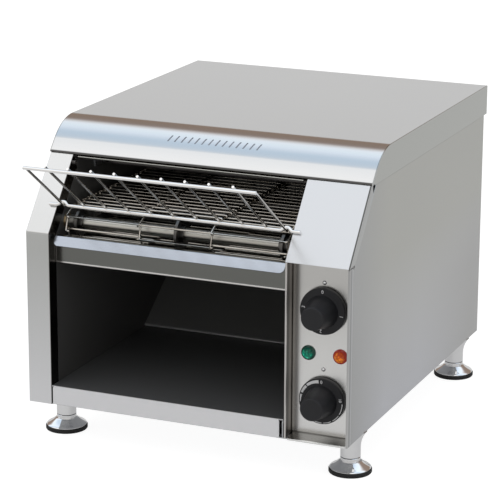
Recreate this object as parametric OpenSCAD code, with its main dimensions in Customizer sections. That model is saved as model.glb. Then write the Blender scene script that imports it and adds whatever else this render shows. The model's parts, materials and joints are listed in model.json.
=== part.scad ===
// Countertop conveyor toaster: a sheet-metal cabinet on four levelling feet,
// a hooked-wire conveyor belt between upper and lower heating elements,
// a wire feed rack in front, a sloping return chute and a pull-out toast tray.
// Units are millimetres. X runs to the right, Y to the back, Z up.

/* [Cabinet] */
// Depth of the side panels
body_d = 436; // [400:1:480]
// Height of the cabinet floor above the table
base_z = 46; // [40:1:60]
// Height of the upright front, from the cabinet floor to the knee
front_h = 190; // [175:1:210]
// How far back the sloping part of the front runs
slope_run = 59.5; // [50:0.5:70]
// How far up the sloping part of the front rises
slope_rise = 73.5; // [65:0.5:85]
// Height of the flat top of the lid above the slope
lid_rise = 32.5; // [28:0.5:40]
// Outer radius of the rolled front of the lid
lid_r = 58; // [45:1:70]
// How far the lid overhangs the back
lid_back = 7; // [2:1:15]
// How far the lid's skirts reach below the top of the slope
skirt_drop = 1; // [0:0.5:6]
// Sheet metal thickness
sheet = 1.2; // [0.8:0.1:2]
// Width of the front column beside the belt
column_w = 27.3; // [20:0.1:40]
// Width of the opening between column and divider
opening_w = 269.25; // [240:0.25:290]
// Width of the control section on the right
controls_w = 70.05; // [64:0.05:84]
// Depth of the side returns of the front frames
return_d = 10; // [6:1:16]

/* [Belt] */
// Pitch of the belt, one strand to the next
pitch = 12.7; // [12.7:0.1:13]
// Whole pitches between the two shafts
span_links = 22; // [20:1:23]
// Thickness of the belt wire
wire = 2; // [1.6:0.1:2.4]
// Space between the belt and each wall of the opening
belt_side = 6.625; // [5:0.125:20]
// Half the distance between the two hook columns
lane = 41; // [30:1:50]
// Depth of the front shaft behind the front face
front_axis_y = 43; // [40:1:50]
// Height of both shafts above the knee
axis_rise = 4.5; // [0:0.5:8]
// Angle of the first strand on the front wheel above the horizontal
belt_phase = 30; // [0:1:44]
// Diameter of both shafts
shaft_d = 12.7; // [10:0.1:14]

/* [Feed rack] */
// Length of the rack from its rest rods to its upper rail
rack_len = 101; // [80:1:120]
// Slope of the rack above the horizontal
rack_tilt = 35.5; // [20:0.5:45]
// Space between the rack and each wall of the opening
rack_side = 4.6; // [3:0.1:12]
// Height of the rack's rest rods above the knee
rack_up = 27.2; // [20:0.1:40]
// Diameter of the rack's two rails
rack_wire = 3.8; // [3:0.1:5]
// Diameter of the rack's cross wires
cross_wire = 2.9; // [2:0.1:4]
// Number of cross wires between the two side wires
cross_count = 9; // [5:1:13]

/* [Controls] */
// Depth of the recess that holds the controls
recess = 18; // [10:1:25]
// Diameter of the knob skirts
knob_d = 49.4; // [44:0.2:54]
// Thickness of the knob skirts
skirt_t = 5.6; // [4:0.1:8]
// Diameter of the grip where it meets the skirt
grip_d = 34.4; // [30:0.2:38]
// Diameter of the grip at its front
tip_d = 24.6; // [18:0.2:30]
// Length of a knob
knob_len = 35; // [25:1:45]
// Drop from the knee to the upper knob, the selector
selector_drop = 51.3; // [45:0.1:60]
// Height of the lower knob, the belt speed, above the cabinet floor
speed_rise = 42.4; // [38:0.1:50]
// Height of the lamps above the middle between the knobs
lamp_up = 0.8; // [-4:0.1:4]
// Distance between the lamps
lamp_gap = 35; // [26:0.2:40]
// Diameter of the lamp lenses
lamp_d = 15.7; // [10:0.1:18]

/* [Tray and chute] */
// Height of the tray's flat top above the cabinet floor
tray_rise = 21.5; // [16:0.5:30]
// Depth of the tray from front to back
tray_len = 238; // [200:1:250]
// Angle of the return chute
chute_tilt = 35.5; // [30:0.5:40]
// Depth at which the chute starts
chute_y = 231; // [215:1:245]

/* [Feet] */
// Diameter of the rubber ring of a foot
foot_d = 46; // [36:1:50]
// Diameter of a leg
leg_d = 21.5; // [18:0.5:26]
// Distance of the feet from the left and right edges of the lid
foot_side = 17.5; // [16:0.5:40]
// Distance of the front feet behind the front face
foot_front = 54; // [40:1:60]
// Distance of the rear feet from the back
foot_back = 36.5; // [26:0.5:60]

/* [Hidden] */
$fn = 64;
gap = 0.3;          // between pieces that move past each other
run_fit = 0.06;     // radial clearance of a shaft in its bushing
seam = 0.3;         // visible joint between two sheets

body_w = column_w + opening_w + controls_w + 2 * sheet; // overall width of the lid
half_w = body_w / 2;
knee_z = base_z + front_h;           // where the front starts to slope back
slope_z = knee_z + slope_rise;       // top edge of the slope
lid_z = slope_z + lid_rise;
skirt_z = slope_z - skirt_drop;
axis_z = knee_z + axis_rise;
tray_z = base_z + tray_rise;
skin_x = half_w - sheet;             // outer face of the side panels
inner_x = skin_x - sheet;            // inner face of the side panels
open_l = -skin_x + column_w;         // left side of the belt opening
open_r = open_l + opening_w;         // right side of the belt opening
mid_x = (open_l + open_r) / 2;       // middle of the belt
slope_a = atan2(slope_z - knee_z, slope_run);
liner_back = body_d - 32;            // front face of the wall behind the belt
reflect_z = slope_z - 3.7;           // underside of the upper reflector
belt_w = opening_w - 2 * belt_side;
span = span_links * pitch;
drive_y = front_axis_y + span;
pitch_r = 8 * pitch / (2 * PI);
loop_len = 2 * span + 2 * PI * pitch_r;
links = 2 * span_links + 8;
lid_sweep = 48;                      // angle of the flat below the roll
foot_z = slope_z + seam;             // lower edge of that flat
foot_y = slope_run - 1.3;
// where the roll of the lid meets its flat top
lid_mid_y = foot_y + lid_r * sin(lid_sweep)
  + (lid_z - lid_r * (1 - cos(lid_sweep)) - foot_z) / tan(lid_sweep);
reach = pitch + 2.7;                 // how far a strand's middle reaches back
tilt = asin((wire + 0.65) / pitch);  // how a strand leans up to clear the one before it
wrap_first = span_links + 1;         // first strand that the drive wheels touch
wrap_last = wrap_first + 5;
dial_x = (open_r + sheet + seam + skin_x - sheet) / 2 + 0.9;
lamp_x = dial_x + 0.8;
selector_z = knee_z - selector_drop;
speed_z = base_z + speed_rise;
lamp_z = (selector_z + speed_z) / 2 + lamp_up;
rivet_z = [selector_z + knob_d / 2 + 4.5, speed_z + knob_d / 2 + 8.2];
plate_y = recess;                    // front face of the control panel
pan_top = base_z + sheet;
gland_y = body_d + 15;               // back of the cable gland
rack_z = knee_z + rack_up;           // the rack's lower rail, whose ends rest on the slopes
rack_y = (rack_up * cos(slope_a) - rack_wire / 2 - 0.17) / sin(slope_a);
rack_lift = 4;                       // how far that rail is humped over the walls' edges
rack_h = opening_w / 2 - rack_side;  // half its width
foot_x = half_w - foot_side;
foot_rear = body_d - foot_back;
rack_front = rack_y - rack_len * cos(rack_tilt) - rack_wire / 2;
mid_y = (rack_front + gland_y) / 2;

// ---------- helpers ----------

function unit(v) = v / norm(v);
function perp(v) = [-v[1], v[0]];
function shifted(p, t) = [
  for (i = [0:len(p) - 1])
    let (
      a = unit(i > 0 ? p[i] - p[i - 1] : p[1] - p[0]),
      b = unit(i < len(p) - 1 ? p[i + 1] - p[i] : p[i] - p[i - 1]),
      m = unit(perp(a) + perp(b))
    )
    p[i] + m * t / (m * perp(a))
];
// depth of a line that runs parallel to the slope, off millimetres behind it, at height z
function slope_y(z, off) = (z - knee_z) / tan(slope_a) + off / sin(slope_a);
function reversed(p) = [for (i = [len(p) - 1:-1:0]) p[i]];

// the whole object is drawn from its front face and seated about the middle of its box
module seat() {
  translate([0, -mid_y, 0]) children();
}

// a sheet whose folds are drawn as a line; the thickness goes to the left of the line
module band(p, t) {
  polygon(concat(p, reversed(shifted(p, t))));
}

// a Y-Z outline drawn out along X
module along_x(x0, x1) {
  translate([x0, 0, 0]) rotate([90, 0, 90]) linear_extrude(x1 - x0) children();
}

// round wire through points of the X-Z plane, rounded where it bends
module bent_wire(p, d) {
  for (i = [0:len(p) - 2]) {
    v = p[i + 1] - p[i];
    translate([p[i][0], 0, p[i][1]]) rotate([0, atan2(v[0], v[1]), 0]) cylinder(d = d, h = norm(v));
    if (i > 0) translate([p[i][0], 0, p[i][1]]) sphere(d = d);
  }
}

// an X-Z outline drawn out along Y
module along_y(y0, y1) {
  translate([0, y1, 0]) rotate([90, 0, 0]) linear_extrude(y1 - y0) children();
}

module block(a, b) {
  translate(a) cube(b - a);
}

module rod_x(x0, x1, y, z, d) {
  translate([x0, y, z]) rotate([0, 90, 0]) cylinder(d = d, h = x1 - x0);
}

module rod_y(y0, y1, x, z, d) {
  translate([x, y0, z]) rotate([-90, 0, 0]) cylinder(d = d, h = y1 - y0);
}

module spin_y(y, x, z) {
  translate([x, y, z]) rotate([90, 0, 0]) rotate_extrude() children();
}

module mirrored_x(c) {
  children();
  translate([2 * c, 0, 0]) mirror([1, 0, 0]) children();
}

// the outline of the front, from the floor over the knee and the slope
function front_line(z0) = [
  [0, z0], [0, knee_z], [slope_run, slope_z], [slope_run + 12, slope_z]
];

// ---------- cabinet ----------

module base_pan() {
  vent_w = 4;
  vent_l = 40;
  color("silver") seat() difference() {
    union() {
      block([-inner_x, 1.5, base_z], [inner_x, body_d - sheet, pan_top]);
      for (x = [-inner_x, inner_x - sheet])
        block([x, 17.5, pan_top], [x + sheet, body_d - sheet, pan_top + 12]);
    }
    for (x = [-foot_x, foot_x], y = [foot_front, foot_rear])
      translate([x, y, base_z - 1]) cylinder(d = 10, h = sheet + 2);
    for (i = [0:7])
      translate([dial_x - vent_l / 2, 90 + 12 * i, base_z - 1]) cube([vent_l, vent_w, sheet + 2]);
    // the shelf of the control panel takes the floor's place in front
    block([open_r + 3.3, 0, base_z - 1], [half_w, plate_y + seam, pan_top + 20]);
  }
}

module tray_guides() {
  r = 3;
  top = tray_z - sheet - gap;
  y1 = chute_y - 3;
  color("silver") seat() {
    // right guide with its rounded front corner, beside the divider
    along_x(open_r - 2.1, open_r - 0.9) union() {
      polygon([[0.2, pan_top], [y1, pan_top], [y1, top], [r, top], [0.2, top - r]]);
      intersection() {
        translate([0.2 + r, top - r]) circle(r);
        translate([0.2, top - r]) square(r);
      }
    }
    block([open_r - 14, 6, pan_top], [open_r - 2.1, y1, pan_top + sheet]);
    block([open_l + 0.9, 6, pan_top], [open_l + 2.1, y1, top]);
    block([open_l + 2.1, 6, pan_top], [open_l + 14, y1, pan_top + sheet]);
  }
}

module side_skin() {
  off = return_d + seam;
  f = shifted(front_line(base_z), -off);
  along_x(inner_x, skin_x) polygon([
    f[0], f[1], [slope_y(slope_z - 11, off), slope_z - 11], [slope_run + 12 + seam, slope_z - sheet - seam],
    [lid_mid_y - 31, lid_z - 18], [lid_mid_y, lid_z - 6],
    [lid_mid_y + 6, lid_z - sheet], [body_d, lid_z - sheet], [body_d, base_z]
  ]);
}

module side_panel_left() {
  color("silver") seat() mirror([1, 0, 0]) side_skin();
}

module side_panel_right() {
  color("silver") seat() side_skin();
}

// the part of a front frame that is folded back along a side
module side_return(depth, z0) {
  a = shifted(front_line(z0), -sheet);
  b = shifted(front_line(z0), -depth);
  polygon([a[0], a[1], a[2], [slope_y(slope_z - depth, depth), slope_z - depth], b[1], b[0]]);
}

module left_column() {
  color("silver") seat() {
    along_x(-skin_x, open_l) band(front_line(base_z), -sheet);
    along_x(-skin_x, -inner_x) side_return(return_d, base_z);
    along_x(open_l - sheet, open_l) side_return(16, pan_top);
  }
}

module slope_cover() {
  line = front_line(base_z);
  back = shifted(line, -sheet);
  z1 = knee_z + sheet;
  color("silver") seat() {
    // sloping face, with the ceiling of the control recess folded back under it
    along_x(open_r, skin_x)
      polygon([line[1], line[2], line[3], back[3], back[2], [slope_y(knee_z, sheet), knee_z]]);
    along_x(open_r, inner_x) polygon([
      [0.6, knee_z], [slope_y(z1, 0.5), z1], [plate_y, z1], [plate_y, knee_z]
    ]);
    along_x(inner_x, skin_x) polygon([
      [slope_y(z1, sheet), z1], [slope_y(z1, return_d), z1],
      [slope_y(slope_z - return_d, return_d), slope_z - return_d],
      [slope_run + 3, slope_z - sheet], [slope_run + 0.7, slope_z - sheet]
    ]);
    // narrow post beside the controls
    block([skin_x - 3.4, 0, base_z], [skin_x, sheet, knee_z - 0.4]);
    block([inner_x, sheet, base_z], [skin_x, return_d, knee_z - 0.4]);
  }
}

// what the two walls of the oven share: their outline above the slope and behind it
wall_back = [
  [slope_run + 12.5, slope_z - sheet - 0.5], [slope_run + 12.5, slope_z + 1],
  [lid_mid_y - 25, lid_z - 25], [lid_mid_y + 3, lid_z - 9],
  [liner_back + sheet, lid_z - 9], [liner_back + sheet, pan_top]
];

module left_liner() {
  off = 16 + seam;
  f = shifted(front_line(pan_top), -off);
  color("dimgray") seat() difference() {
    along_x(open_l - sheet, open_l) polygon(concat([
      [f[0][0], pan_top], f[1], [slope_y(slope_z - 16, off), slope_z - 16],
      [slope_run + 1.4, slope_z - sheet - 0.5]
    ], wall_back));
    for (y = [front_axis_y, drive_y])
      rod_x(open_l - 3, open_l + 1, y, axis_z, 18);
  }
}

module divider_wall() {
  z1 = knee_z - 0.4;
  z2 = knee_z + sheet + seam;
  off = sheet + seam;
  color("silver") seat() difference() {
    union() {
      along_x(open_r, open_r + sheet) polygon(concat([
        [0, pan_top], [0, z1], [plate_y + seam, z1], [plate_y + seam, z2], [slope_y(z2, off), z2],
        [slope_y(slope_z - sheet - 0.5, off), slope_z - sheet - 0.5]
      ], wall_back));
      block([open_r + sheet, 0, pan_top], [open_r + 3.3, sheet, z1]);
    }
    for (y = [front_axis_y, drive_y])
      rod_x(open_r - 1, open_r + 3, y, axis_z, 18);
    for (e = element_ends())
      rod_x(open_r - 1, open_r + 3, e[0], e[1], 12);
  }
}

rear_screws = [for (z = [base_z + 11, slope_z - 14], u = [-1, -0.35, 0.35, 1]) [u * (inner_x - 10), z]];
vent_count = floor((opening_w - 29) / 24);

module rear_panel() {
  color("silver") seat() difference() {
    block([-inner_x, body_d - sheet, base_z], [inner_x, body_d, lid_z - sheet]);
    for (i = [0:vent_count - 1], z = [39, 69, 149, 179])
      translate([open_l + 11 + 24 * i, body_d - 3, base_z + z]) cube([14, 4, 4]);
    // finger guard in front of the fan: rings of slots between four spokes
    translate([fan_x, body_d + 1, fan_z]) rotate([90, 0, 0]) linear_extrude(4) difference() {
      for (r = [8, 14.5, 21]) difference() {
        circle(r + 4.5);
        circle(r);
      }
      for (a = [0, 90]) rotate(a + 45) square([60, 3], center = true);
    }
    for (x = [-25, 25], z = [-25, 25])
      rod_y(body_d - 3, body_d + 1, fan_x + x, fan_z + z, 4.4, $fn = 32);
    rod_y(body_d - 3, body_d + 1, dial_x, gland_z, 20);
    for (p = rear_screws)
      rod_y(body_d - 3, body_d + 1, p[0], p[1], 3.4, $fn = 32);
  }
}

module panel_screws() {
  color("silver") seat() {
    for (p = rear_screws) {
      rod_y(body_d, body_d + 1.8, p[0], p[1], 6.4, $fn = 32);
      rod_y(body_d - 4, body_d, p[0], p[1], 3.3, $fn = 32);
    }
    for (x = [-25, 25], z = [-25, 25]) {
      rod_y(body_d, body_d + 1.8, fan_x + x, fan_z + z, 7, $fn = 32);
      rod_y(body_d - sheet - fan_t, body_d, fan_x + x, fan_z + z, 4.3, $fn = 32);
    }
    rod_x(open_l, open_l + 1.8, slope_run + 2.5, slope_z - 9.5, 6, $fn = 32);
    // the two round-headed rivets that mark the dials' zero
    for (z = rivet_z) {
      spin_y(plate_y, dial_x, z) intersection() {
        translate([0, -0.44]) circle(2.34);
        square([2.4, 2.4]);
      }
      rod_y(plate_y - 0.5, plate_y + 2.4, dial_x, z, 2.8, $fn = 32);
    }
  }
}

module rear_baffle() {
  color("dimgray") seat()
    block([open_l, liner_back, chute_top_z + 6], [open_r, liner_back + sheet, reflect_z + sheet]);
}

chute_top_z = tray_z + 1.6 + (liner_back - chute_y) * tan(chute_tilt);

// the lid seen from the side: rolled front, flat below it, flat top and straight back
lid_c = [lid_mid_y, lid_z - lid_r];
lid_n = [-sin(lid_sweep), cos(lid_sweep)];
lid_t = [-cos(lid_sweep), -sin(lid_sweep)];

module lid_outline(inset) {
  r = lid_r - inset;
  back = body_d + lid_back - inset;
  low = 40;
  intersection() {
    union() {
      intersection() {
        translate(lid_c) circle(r, $fn = 160);
        translate(lid_c) polygon([[0, 0], [0, 2 * lid_r], 2 * lid_r * lid_n]);
      }
      polygon([
        lid_c + [0, r], [back, lid_c[1] + r], [back, lid_c[1] - 20], lid_c + [0, -20],
        lid_c + r * lid_n + low * lid_t, lid_c + r * lid_n
      ]);
    }
    polygon([
      [foot_y - 5, foot_z], [foot_y + 7, foot_z], [foot_y + 7, skirt_z], [back, skirt_z], [back, lid_z],
      [foot_y - 5, lid_z]
    ]);
  }
}

module top_cover() {
  color("silver") seat() {
    along_x(-half_w, half_w) difference() {
      lid_outline(0);
      lid_outline(sheet);
      translate([foot_y + 5, skirt_z - 1]) square([body_d + lid_back - sheet - foot_y - 5, 4]);
    }
    along_x(-half_w, -skin_x) lid_outline(0);
    along_x(skin_x, half_w) lid_outline(0);
    // folded edge under the roll
    block([-skin_x, foot_y + 1, foot_z], [skin_x, foot_y + 7, foot_z + 0.8]);
  }
}

module top_insulation() {
  color("khaki") seat()
    block([open_l + 6, lid_mid_y - 23, reflect_z + sheet], [open_r - 6, liner_back - 6, lid_z - 15]);
}

// ---------- reflectors, chute and tray ----------

module upper_reflector() {
  color("silver") seat() {
    block([open_l, slope_run + 16.5, reflect_z], [open_r, liner_back, reflect_z + sheet]);
    block([open_l + 5, slope_run + 0.5, reflect_z], [open_r - 5, slope_run + 16.5, reflect_z + sheet]);
    rod_x(open_l + 5, open_r - 5, slope_run + 0.9, reflect_z + 1.1, 2.1);
    for (x = [open_l, open_r - sheet])
      block([x, lid_mid_y - 23, reflect_z + sheet], [x + sheet, liner_back - 10, reflect_z + 14]);
  }
}

module lower_reflector() {
  y = 16;
  z0 = knee_z - 34.5;
  z1 = knee_z - 4;
  y1 = drive_y - 22.4;
  r = 6;
  strip_a = atan2(9, 7);
  strip_l = norm([9, 7]);
  color("silver") seat() {
    // floor under the belt
    block([open_l, y, z0 + 2], [open_r, y1, z0 + 2 + sheet]);
    for (x = [open_l, open_r - sheet])
      block([x, y + sheet, z0 + 2 + sheet], [x + sheet, y1, z0 + 14]);
    // fascia with its rolled lower edge
    block([open_l + 0.4, y - sheet, z0], [open_r - 0.4, y, z1]);
    rod_x(open_l + 0.4, open_r - 0.4, y - sheet / 2, z0 + 0.6, 2.4);
    // small shelf, then the sloping strip with rounded corners
    difference() {
      along_x(open_l + 3, open_r - 3) band([[y - 1, z1], [9.6, z1], [2.6, z1 - 9]], sheet);
      for (m = [0, 1]) translate([m ? open_r - 3 : open_l + 3, 9.6, z1]) mirror([m, 0, 0])
        rotate([strip_a - 180, 0, 0]) translate([0, strip_l - r, -1]) linear_extrude(sheet + 2) difference() {
          translate([-1, 0]) square(r + 1);
          translate([r - 0.1, 0.1]) circle(r);
        }
    }
  }
}

module return_chute() {
  l = (liner_back - chute_y) / cos(chute_tilt);
  color("silver") seat() {
    translate([0, chute_y, tray_z + 1.6]) rotate([chute_tilt, 0, 0])
      block([open_l, 0.6, 0], [open_r, l, sheet]);
    rod_x(open_l, open_r, chute_y, tray_z + 1.9, 2.6);
    // fixing flange behind the belt
    block([open_l, liner_back - 0.6, chute_top_z - 0.8], [open_r, liner_back + sheet, chute_top_z + 6]);
  }
}

module collection_tray() {
  x0 = open_l + gap + 0.3;
  x1 = open_r - gap - 0.3;
  r = 3;
  color("silver") seat() {
    block([x0, 0, tray_z - sheet], [x1, tray_len, tray_z]);
    // front lip with rounded corners
    along_y(-sheet, 0) difference() {
      translate([open_l + 2, pan_top + 0.2]) square([opening_w - 7, tray_z - pan_top - 0.2]);
      for (m = [0, 1]) translate([m ? open_r - 5 : open_l + 2, 0]) mirror([m, 0]) difference() {
        translate([-1, tray_z - r]) square(r + 1);
        translate([r, tray_z - r]) circle(r);
      }
    }
    // side flanges that keep it between its guides
    for (x = [open_l + 3, open_r - 5])
      block([x, 4, tray_z - 12], [x + sheet, tray_len - 12, tray_z - sheet]);
    // lip at the back, under the chute
    block([x0 + 4, tray_len - sheet, tray_z - 12], [x1 - 4, tray_len, tray_z - sheet]);
  }
}

// ---------- feed rack ----------

module feed_rack() {
  h = rack_h;
  w = rack_wire;
  over = (rack_wire + cross_wire) / 2 - 0.3;
  side = h - 2.8;
  cross_pitch = 2 * h / (cross_count + 1);
  color("silver") seat() translate([mid_x, rack_y, rack_z]) rotate([180 - rack_tilt, 0, 0]) {
    // upper rail
    translate([-side - 1.6, rack_len, 0]) rotate([0, 90, 0]) cylinder(d = w, h = 2 * side + 3.2);
    // side wires run from under the upper rail to under the humps of the lower one
    for (x = [-side, side])
      translate([x, -3, -0.9]) rotate([-90, 0, 0]) cylinder(d = cross_wire, h = rack_len + 2.4, $fn = 32);
    // cross wires lie on top of both rails
    for (i = [1:cross_count])
      translate([-h + cross_pitch * i, -2, -over]) rotate([-90, 0, 0])
        cylinder(d = cross_wire, h = rack_len + 4.1, $fn = 32);
    // lower rail, humped over the edges of the walls; its straight ends rest on the slopes
    bent_wire([
      [-h - 13, 0], [-h - 4, 0], [-h - 0.5, -rack_lift], [-h + 4.5, -rack_lift], [-h + 8, 0],
      [h - 8, 0], [h - 4.5, -rack_lift], [h + 0.5, -rack_lift], [h + 4, 0], [h + 13, 0]
    ], w);
  }
}

// ---------- belt ----------

// a point on the belt: s along the loop from the top of the front wheel, n outwards
function loop_at(s, n) =
  let (u = s - loop_len * floor(s / loop_len), arc = PI * pitch_r, r = pitch_r + n)
  u < span ? [front_axis_y + u, axis_z + r]
  : u < span + arc ? let (a = 90 - (u - span) / pitch_r * 180 / PI)
    [drive_y + r * cos(a), axis_z + r * sin(a)]
  : u < 2 * span + arc ? [front_axis_y + 2 * span + arc - u, axis_z - r]
  : let (a = 270 - (u - 2 * span - arc) / pitch_r * 180 / PI)
    [front_axis_y + r * cos(a), axis_z + r * sin(a)];

// one strand: between the two lanes it steps back over the strand before it, and its legs,
// middle and edge loops hook round that strand, so that neighbouring strands hold each other
module strand(i) {
  s = pitch * i - pitch_r * (90 - belt_phase) * PI / 180;
  a = loop_at(s, 0);
  b = loop_at(s - pitch, 0);
  h = belt_w / 2;
  w = wire;
  e = 4.1;
  leg = lane - w / 2;
  path = [
    [-h + e, -reach - w], [-h, -reach - w], [-h, 0], [-leg, 0], [-leg, -reach],
    [leg, -reach], [leg, 0], [h, 0], [h, -reach - w], [h - e, -reach - w]
  ];
  // where the hooks turn down, at the edges and beside the legs
  hooks = [-h + e - 0.8, -lane - w / 2 - 1.1, lane + w / 2 + 1.1, h - e + 0.8];
  lean = atan2(a[1] - b[1], a[0] - b[0]) - tilt;
  translate([mid_x, a[0], a[1]]) rotate([lean, 0, 0]) {
    linear_extrude(w, center = true) translate([0, w / 2]) band(path, -w);
    for (x = [-lane - w / 2 - 1.9, lane - w / 2])
      block([x, -reach - w / 2, -w / 2], [x + w + 1.9, -reach + w / 2, w / 2]);
    for (x = hooks)
      block([x - 0.8, -reach - w / 2, -3.4], [x + 0.8, -reach + w / 2 - 0.5, 0]);
  }
}

module conveyor_belt() {
  color("silver") seat()
    for (i = [0:links - 1]) if (i < wrap_first || i > wrap_last) strand(i);
}

module belt_drive_wrap() {
  color("silver") seat()
    for (i = [wrap_first:wrap_last]) strand(i);
}

// ---------- shafts and drive ----------

wheel_x = [10 - belt_w / 2, 0, belt_w / 2 - 10];
middle_r = pitch_r + 1.9;            // the middle wheels carry the strands' raised middles
chain_x = open_r + sheet + 9;
motor_y = drive_y - 60.4;
motor_z = axis_z - 96.5;
chain_pitch = 6.35;
big_teeth = 20;
small_teeth = 12;
function chain_r(n) = chain_pitch / (2 * sin(180 / n));

// the chain's loop: up the front run, over the driven wheel, down and round the motor's wheel
ra = chain_r(big_teeth);
rb = chain_r(small_teeth);
apart = [drive_y - motor_y, axis_z - motor_z];
lean = asin((ra - rb) / norm(apart));
run = norm(apart) * cos(lean);
aim = atan2(apart[1], apart[0]);
arc_a = (180 + 2 * lean) * PI / 180 * ra;
arc_b = (180 - 2 * lean) * PI / 180 * rb;
chain_len = 2 * run + arc_a + arc_b;
pins = 2 * round(chain_len / chain_pitch / 2);
step = chain_len / pins;
first_a = aim + 90 + lean;
// angles of the pin in the middle of each wheel, which the teeth are set by
mid_a = first_a - ((ceil(run / step) + 5) * step - run) / ra * 180 / PI;
mid_b = first_a + 3 * step / rb * 180 / PI;

module front_shaft() {
  color("tan") seat() rod_x(open_l - 8, open_r + 9, front_axis_y, axis_z, shaft_d);
}

module front_wheels() {
  r = pitch_r - wire / 2 - 0.75;
  color("dimgray") seat() for (x = wheel_x) difference() {
    union() {
      rod_x(mid_x + x - 1.5, mid_x + x + 1.5, front_axis_y, axis_z, 2 * (x == 0 ? middle_r : r));
      rod_x(mid_x + x - 5, mid_x + x + 5, front_axis_y, axis_z, 19);
    }
    rod_x(mid_x + x - 6, mid_x + x + 6, front_axis_y, axis_z, shaft_d + 0.04);
  }
}

module drive_shaft() {
  color("tan") seat() rod_x(open_l - 8, chain_x + 6, drive_y, axis_z, shaft_d);
}

module drive_sprockets() {
  color("dimgray") seat() for (x = wheel_x) difference() {
    union() {
      along_x(mid_x + x - 1.5, mid_x + x + 1.5) translate([drive_y, axis_z]) difference() {
        circle(x == 0 ? middle_r : pitch_r + 1.3);
        if (x != 0) for (k = [0:7])
          rotate(90 - belt_phase + 45 * k) translate([pitch_r + 0.5, 0]) circle(wire / 2 + 1.5, $fn = 32);
      }
      rod_x(mid_x + x - 5, mid_x + x + 5, drive_y, axis_z, 19);
    }
    rod_x(mid_x + x - 6, mid_x + x + 6, drive_y, axis_z, shaft_d + 0.04);
  }
}

module bushing(x0, dir, y) {
  translate([x0, y, axis_z]) rotate([0, 90 * dir, 0]) difference() {
    union() {
      translate([0, 0, -sheet]) cylinder(d = 17.9, h = sheet);
      cylinder(d = 24, h = 3.5);
    }
    translate([0, 0, -sheet - 1]) cylinder(r = shaft_d / 2 + run_fit, h = 8);
  }
}

module shaft_bushings() {
  color("goldenrod") seat() for (y = [front_axis_y, drive_y]) {
    bushing(open_l - sheet, -1, y);
    bushing(open_r + sheet, 1, y);
  }
}

module chain_wheel(n, y, z, bore, phase) {
  r = chain_r(n);
  difference() {
    union() {
      along_x(chain_x - 1.2, chain_x + 1.2) translate([y, z]) difference() {
        circle(r + 0.9);
        for (k = [0:n - 1])
          rotate(phase + 360 / n * k) translate([r + 0.25, 0]) circle(1.95 + 4 / n, $fn = 24);
      }
      rod_x(chain_x - 3, chain_x + 4.5, y, z, bore + 6);
    }
    rod_x(chain_x - 5, chain_x + 6, y, z, bore + 0.04);
  }
}

module driven_chain_wheel() {
  color("dimgray") seat() chain_wheel(big_teeth, drive_y, axis_z, shaft_d, mid_a);
}

module motor_chain_wheel() {
  color("dimgray") seat() {
    chain_wheel(small_teeth, motor_y, motor_z, 8, mid_b);
    rod_x(chain_x - 4, chain_x + 16.5, motor_y, motor_z, 8);
    rod_x(chain_x - 3, chain_x + 4.5, motor_y, motor_z, 9);
  }
}

function chain_at(s) =
  s < run ? [motor_y, motor_z] + rb * [cos(first_a), sin(first_a)] + s * [cos(aim + lean), sin(aim + lean)]
  : s < run + arc_a ? let (t = first_a - (s - run) / ra * 180 / PI)
    [drive_y, axis_z] + ra * [cos(t), sin(t)]
  : s < 2 * run + arc_a ? let (t = aim - 90 - lean, u = s - run - arc_a)
    [drive_y, axis_z] + ra * [cos(t), sin(t)] - u * [cos(aim - lean), sin(aim - lean)]
  : let (t = aim - 90 - lean - (s - 2 * run - arc_a) / rb * 180 / PI)
    [motor_y, motor_z] + rb * [cos(t), sin(t)];

module drive_chain() {
  color("gray") seat() for (k = [0:pins - 1]) {
    p = chain_at(k * step);
    q = chain_at((k + 1) % pins * step);
    out = k % 2;
    for (m = [-1, 1])
      translate([chain_x + m * (3.25 - 1.05 * out) - 0.45, p[0], p[1]])
        rotate([atan2(q[1] - p[1], q[0] - p[0]), 0, 0])
          block([0, -1.6, -2.1], [0.9, norm(q - p) + 1.6, 2.1]);
    rod_x(chain_x - 1.7, chain_x + 1.7, p[0], p[1], 3.1, $fn = 24);
  }
}

module gear_motor() {
  x0 = chain_x + 8;
  color("gray") seat() difference() {
    union() {
      block([x0, motor_y - 34, motor_z - 20], [x0 + 22, motor_y + 18, motor_z + 20]);
      rod_x(x0 + 22, inner_x - 2, motor_y - 12, motor_z, 38);
      rod_x(x0 + 22, x0 + 25, motor_y - 12, motor_z, 42);
    }
    rod_x(x0 - 1, x0 + 14, motor_y, motor_z, 8 + 2 * run_fit);
  }
}

module motor_bracket() {
  x0 = chain_x + 8;
  color("silver") seat() difference() {
    union() {
      block([x0 - sheet, motor_y - 38, motor_z - 30], [x0, motor_y + 22, motor_z + 24]);
      for (y = [motor_y - 38, motor_y + 22 - sheet])
        block([open_r + sheet, y, motor_z - 30], [x0 - sheet, y + sheet, motor_z - 22]);
      block([open_r + sheet, motor_y - 38, motor_z - 42], [open_r + 2 * sheet, motor_y + 22, motor_z - 22]);
    }
    rod_x(x0 - 3, x0 + 1, motor_y, motor_z, 22);
  }
}

// ---------- heating ----------

element_d = 6.6;
hairpin = 40;
upper_y = [96, 196, 296];
lower_y = [92, 192];
upper_z = reflect_z - 8.8;
lower_z = axis_z;
bend_x = open_l + 12 + hairpin / 2;
function element_ends() = concat(
  [for (y = upper_y, k = [0, 1]) [y + k * hairpin, upper_z]],
  [for (y = lower_y, k = [0, 1]) [y + k * hairpin, lower_z]]
);

module hairpin_element(y, z) {
  for (k = [0, 1])
    rod_x(bend_x, open_r + 26, y + k * hairpin, z, element_d);
  translate([bend_x, y + hairpin / 2, z]) rotate([0, 0, 90]) rotate_extrude(angle = 180)
    translate([hairpin / 2, 0]) circle(d = element_d, $fn = 48);
}

module upper_elements() {
  color("dimgray") seat() for (y = upper_y) hairpin_element(y, upper_z);
}

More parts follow.
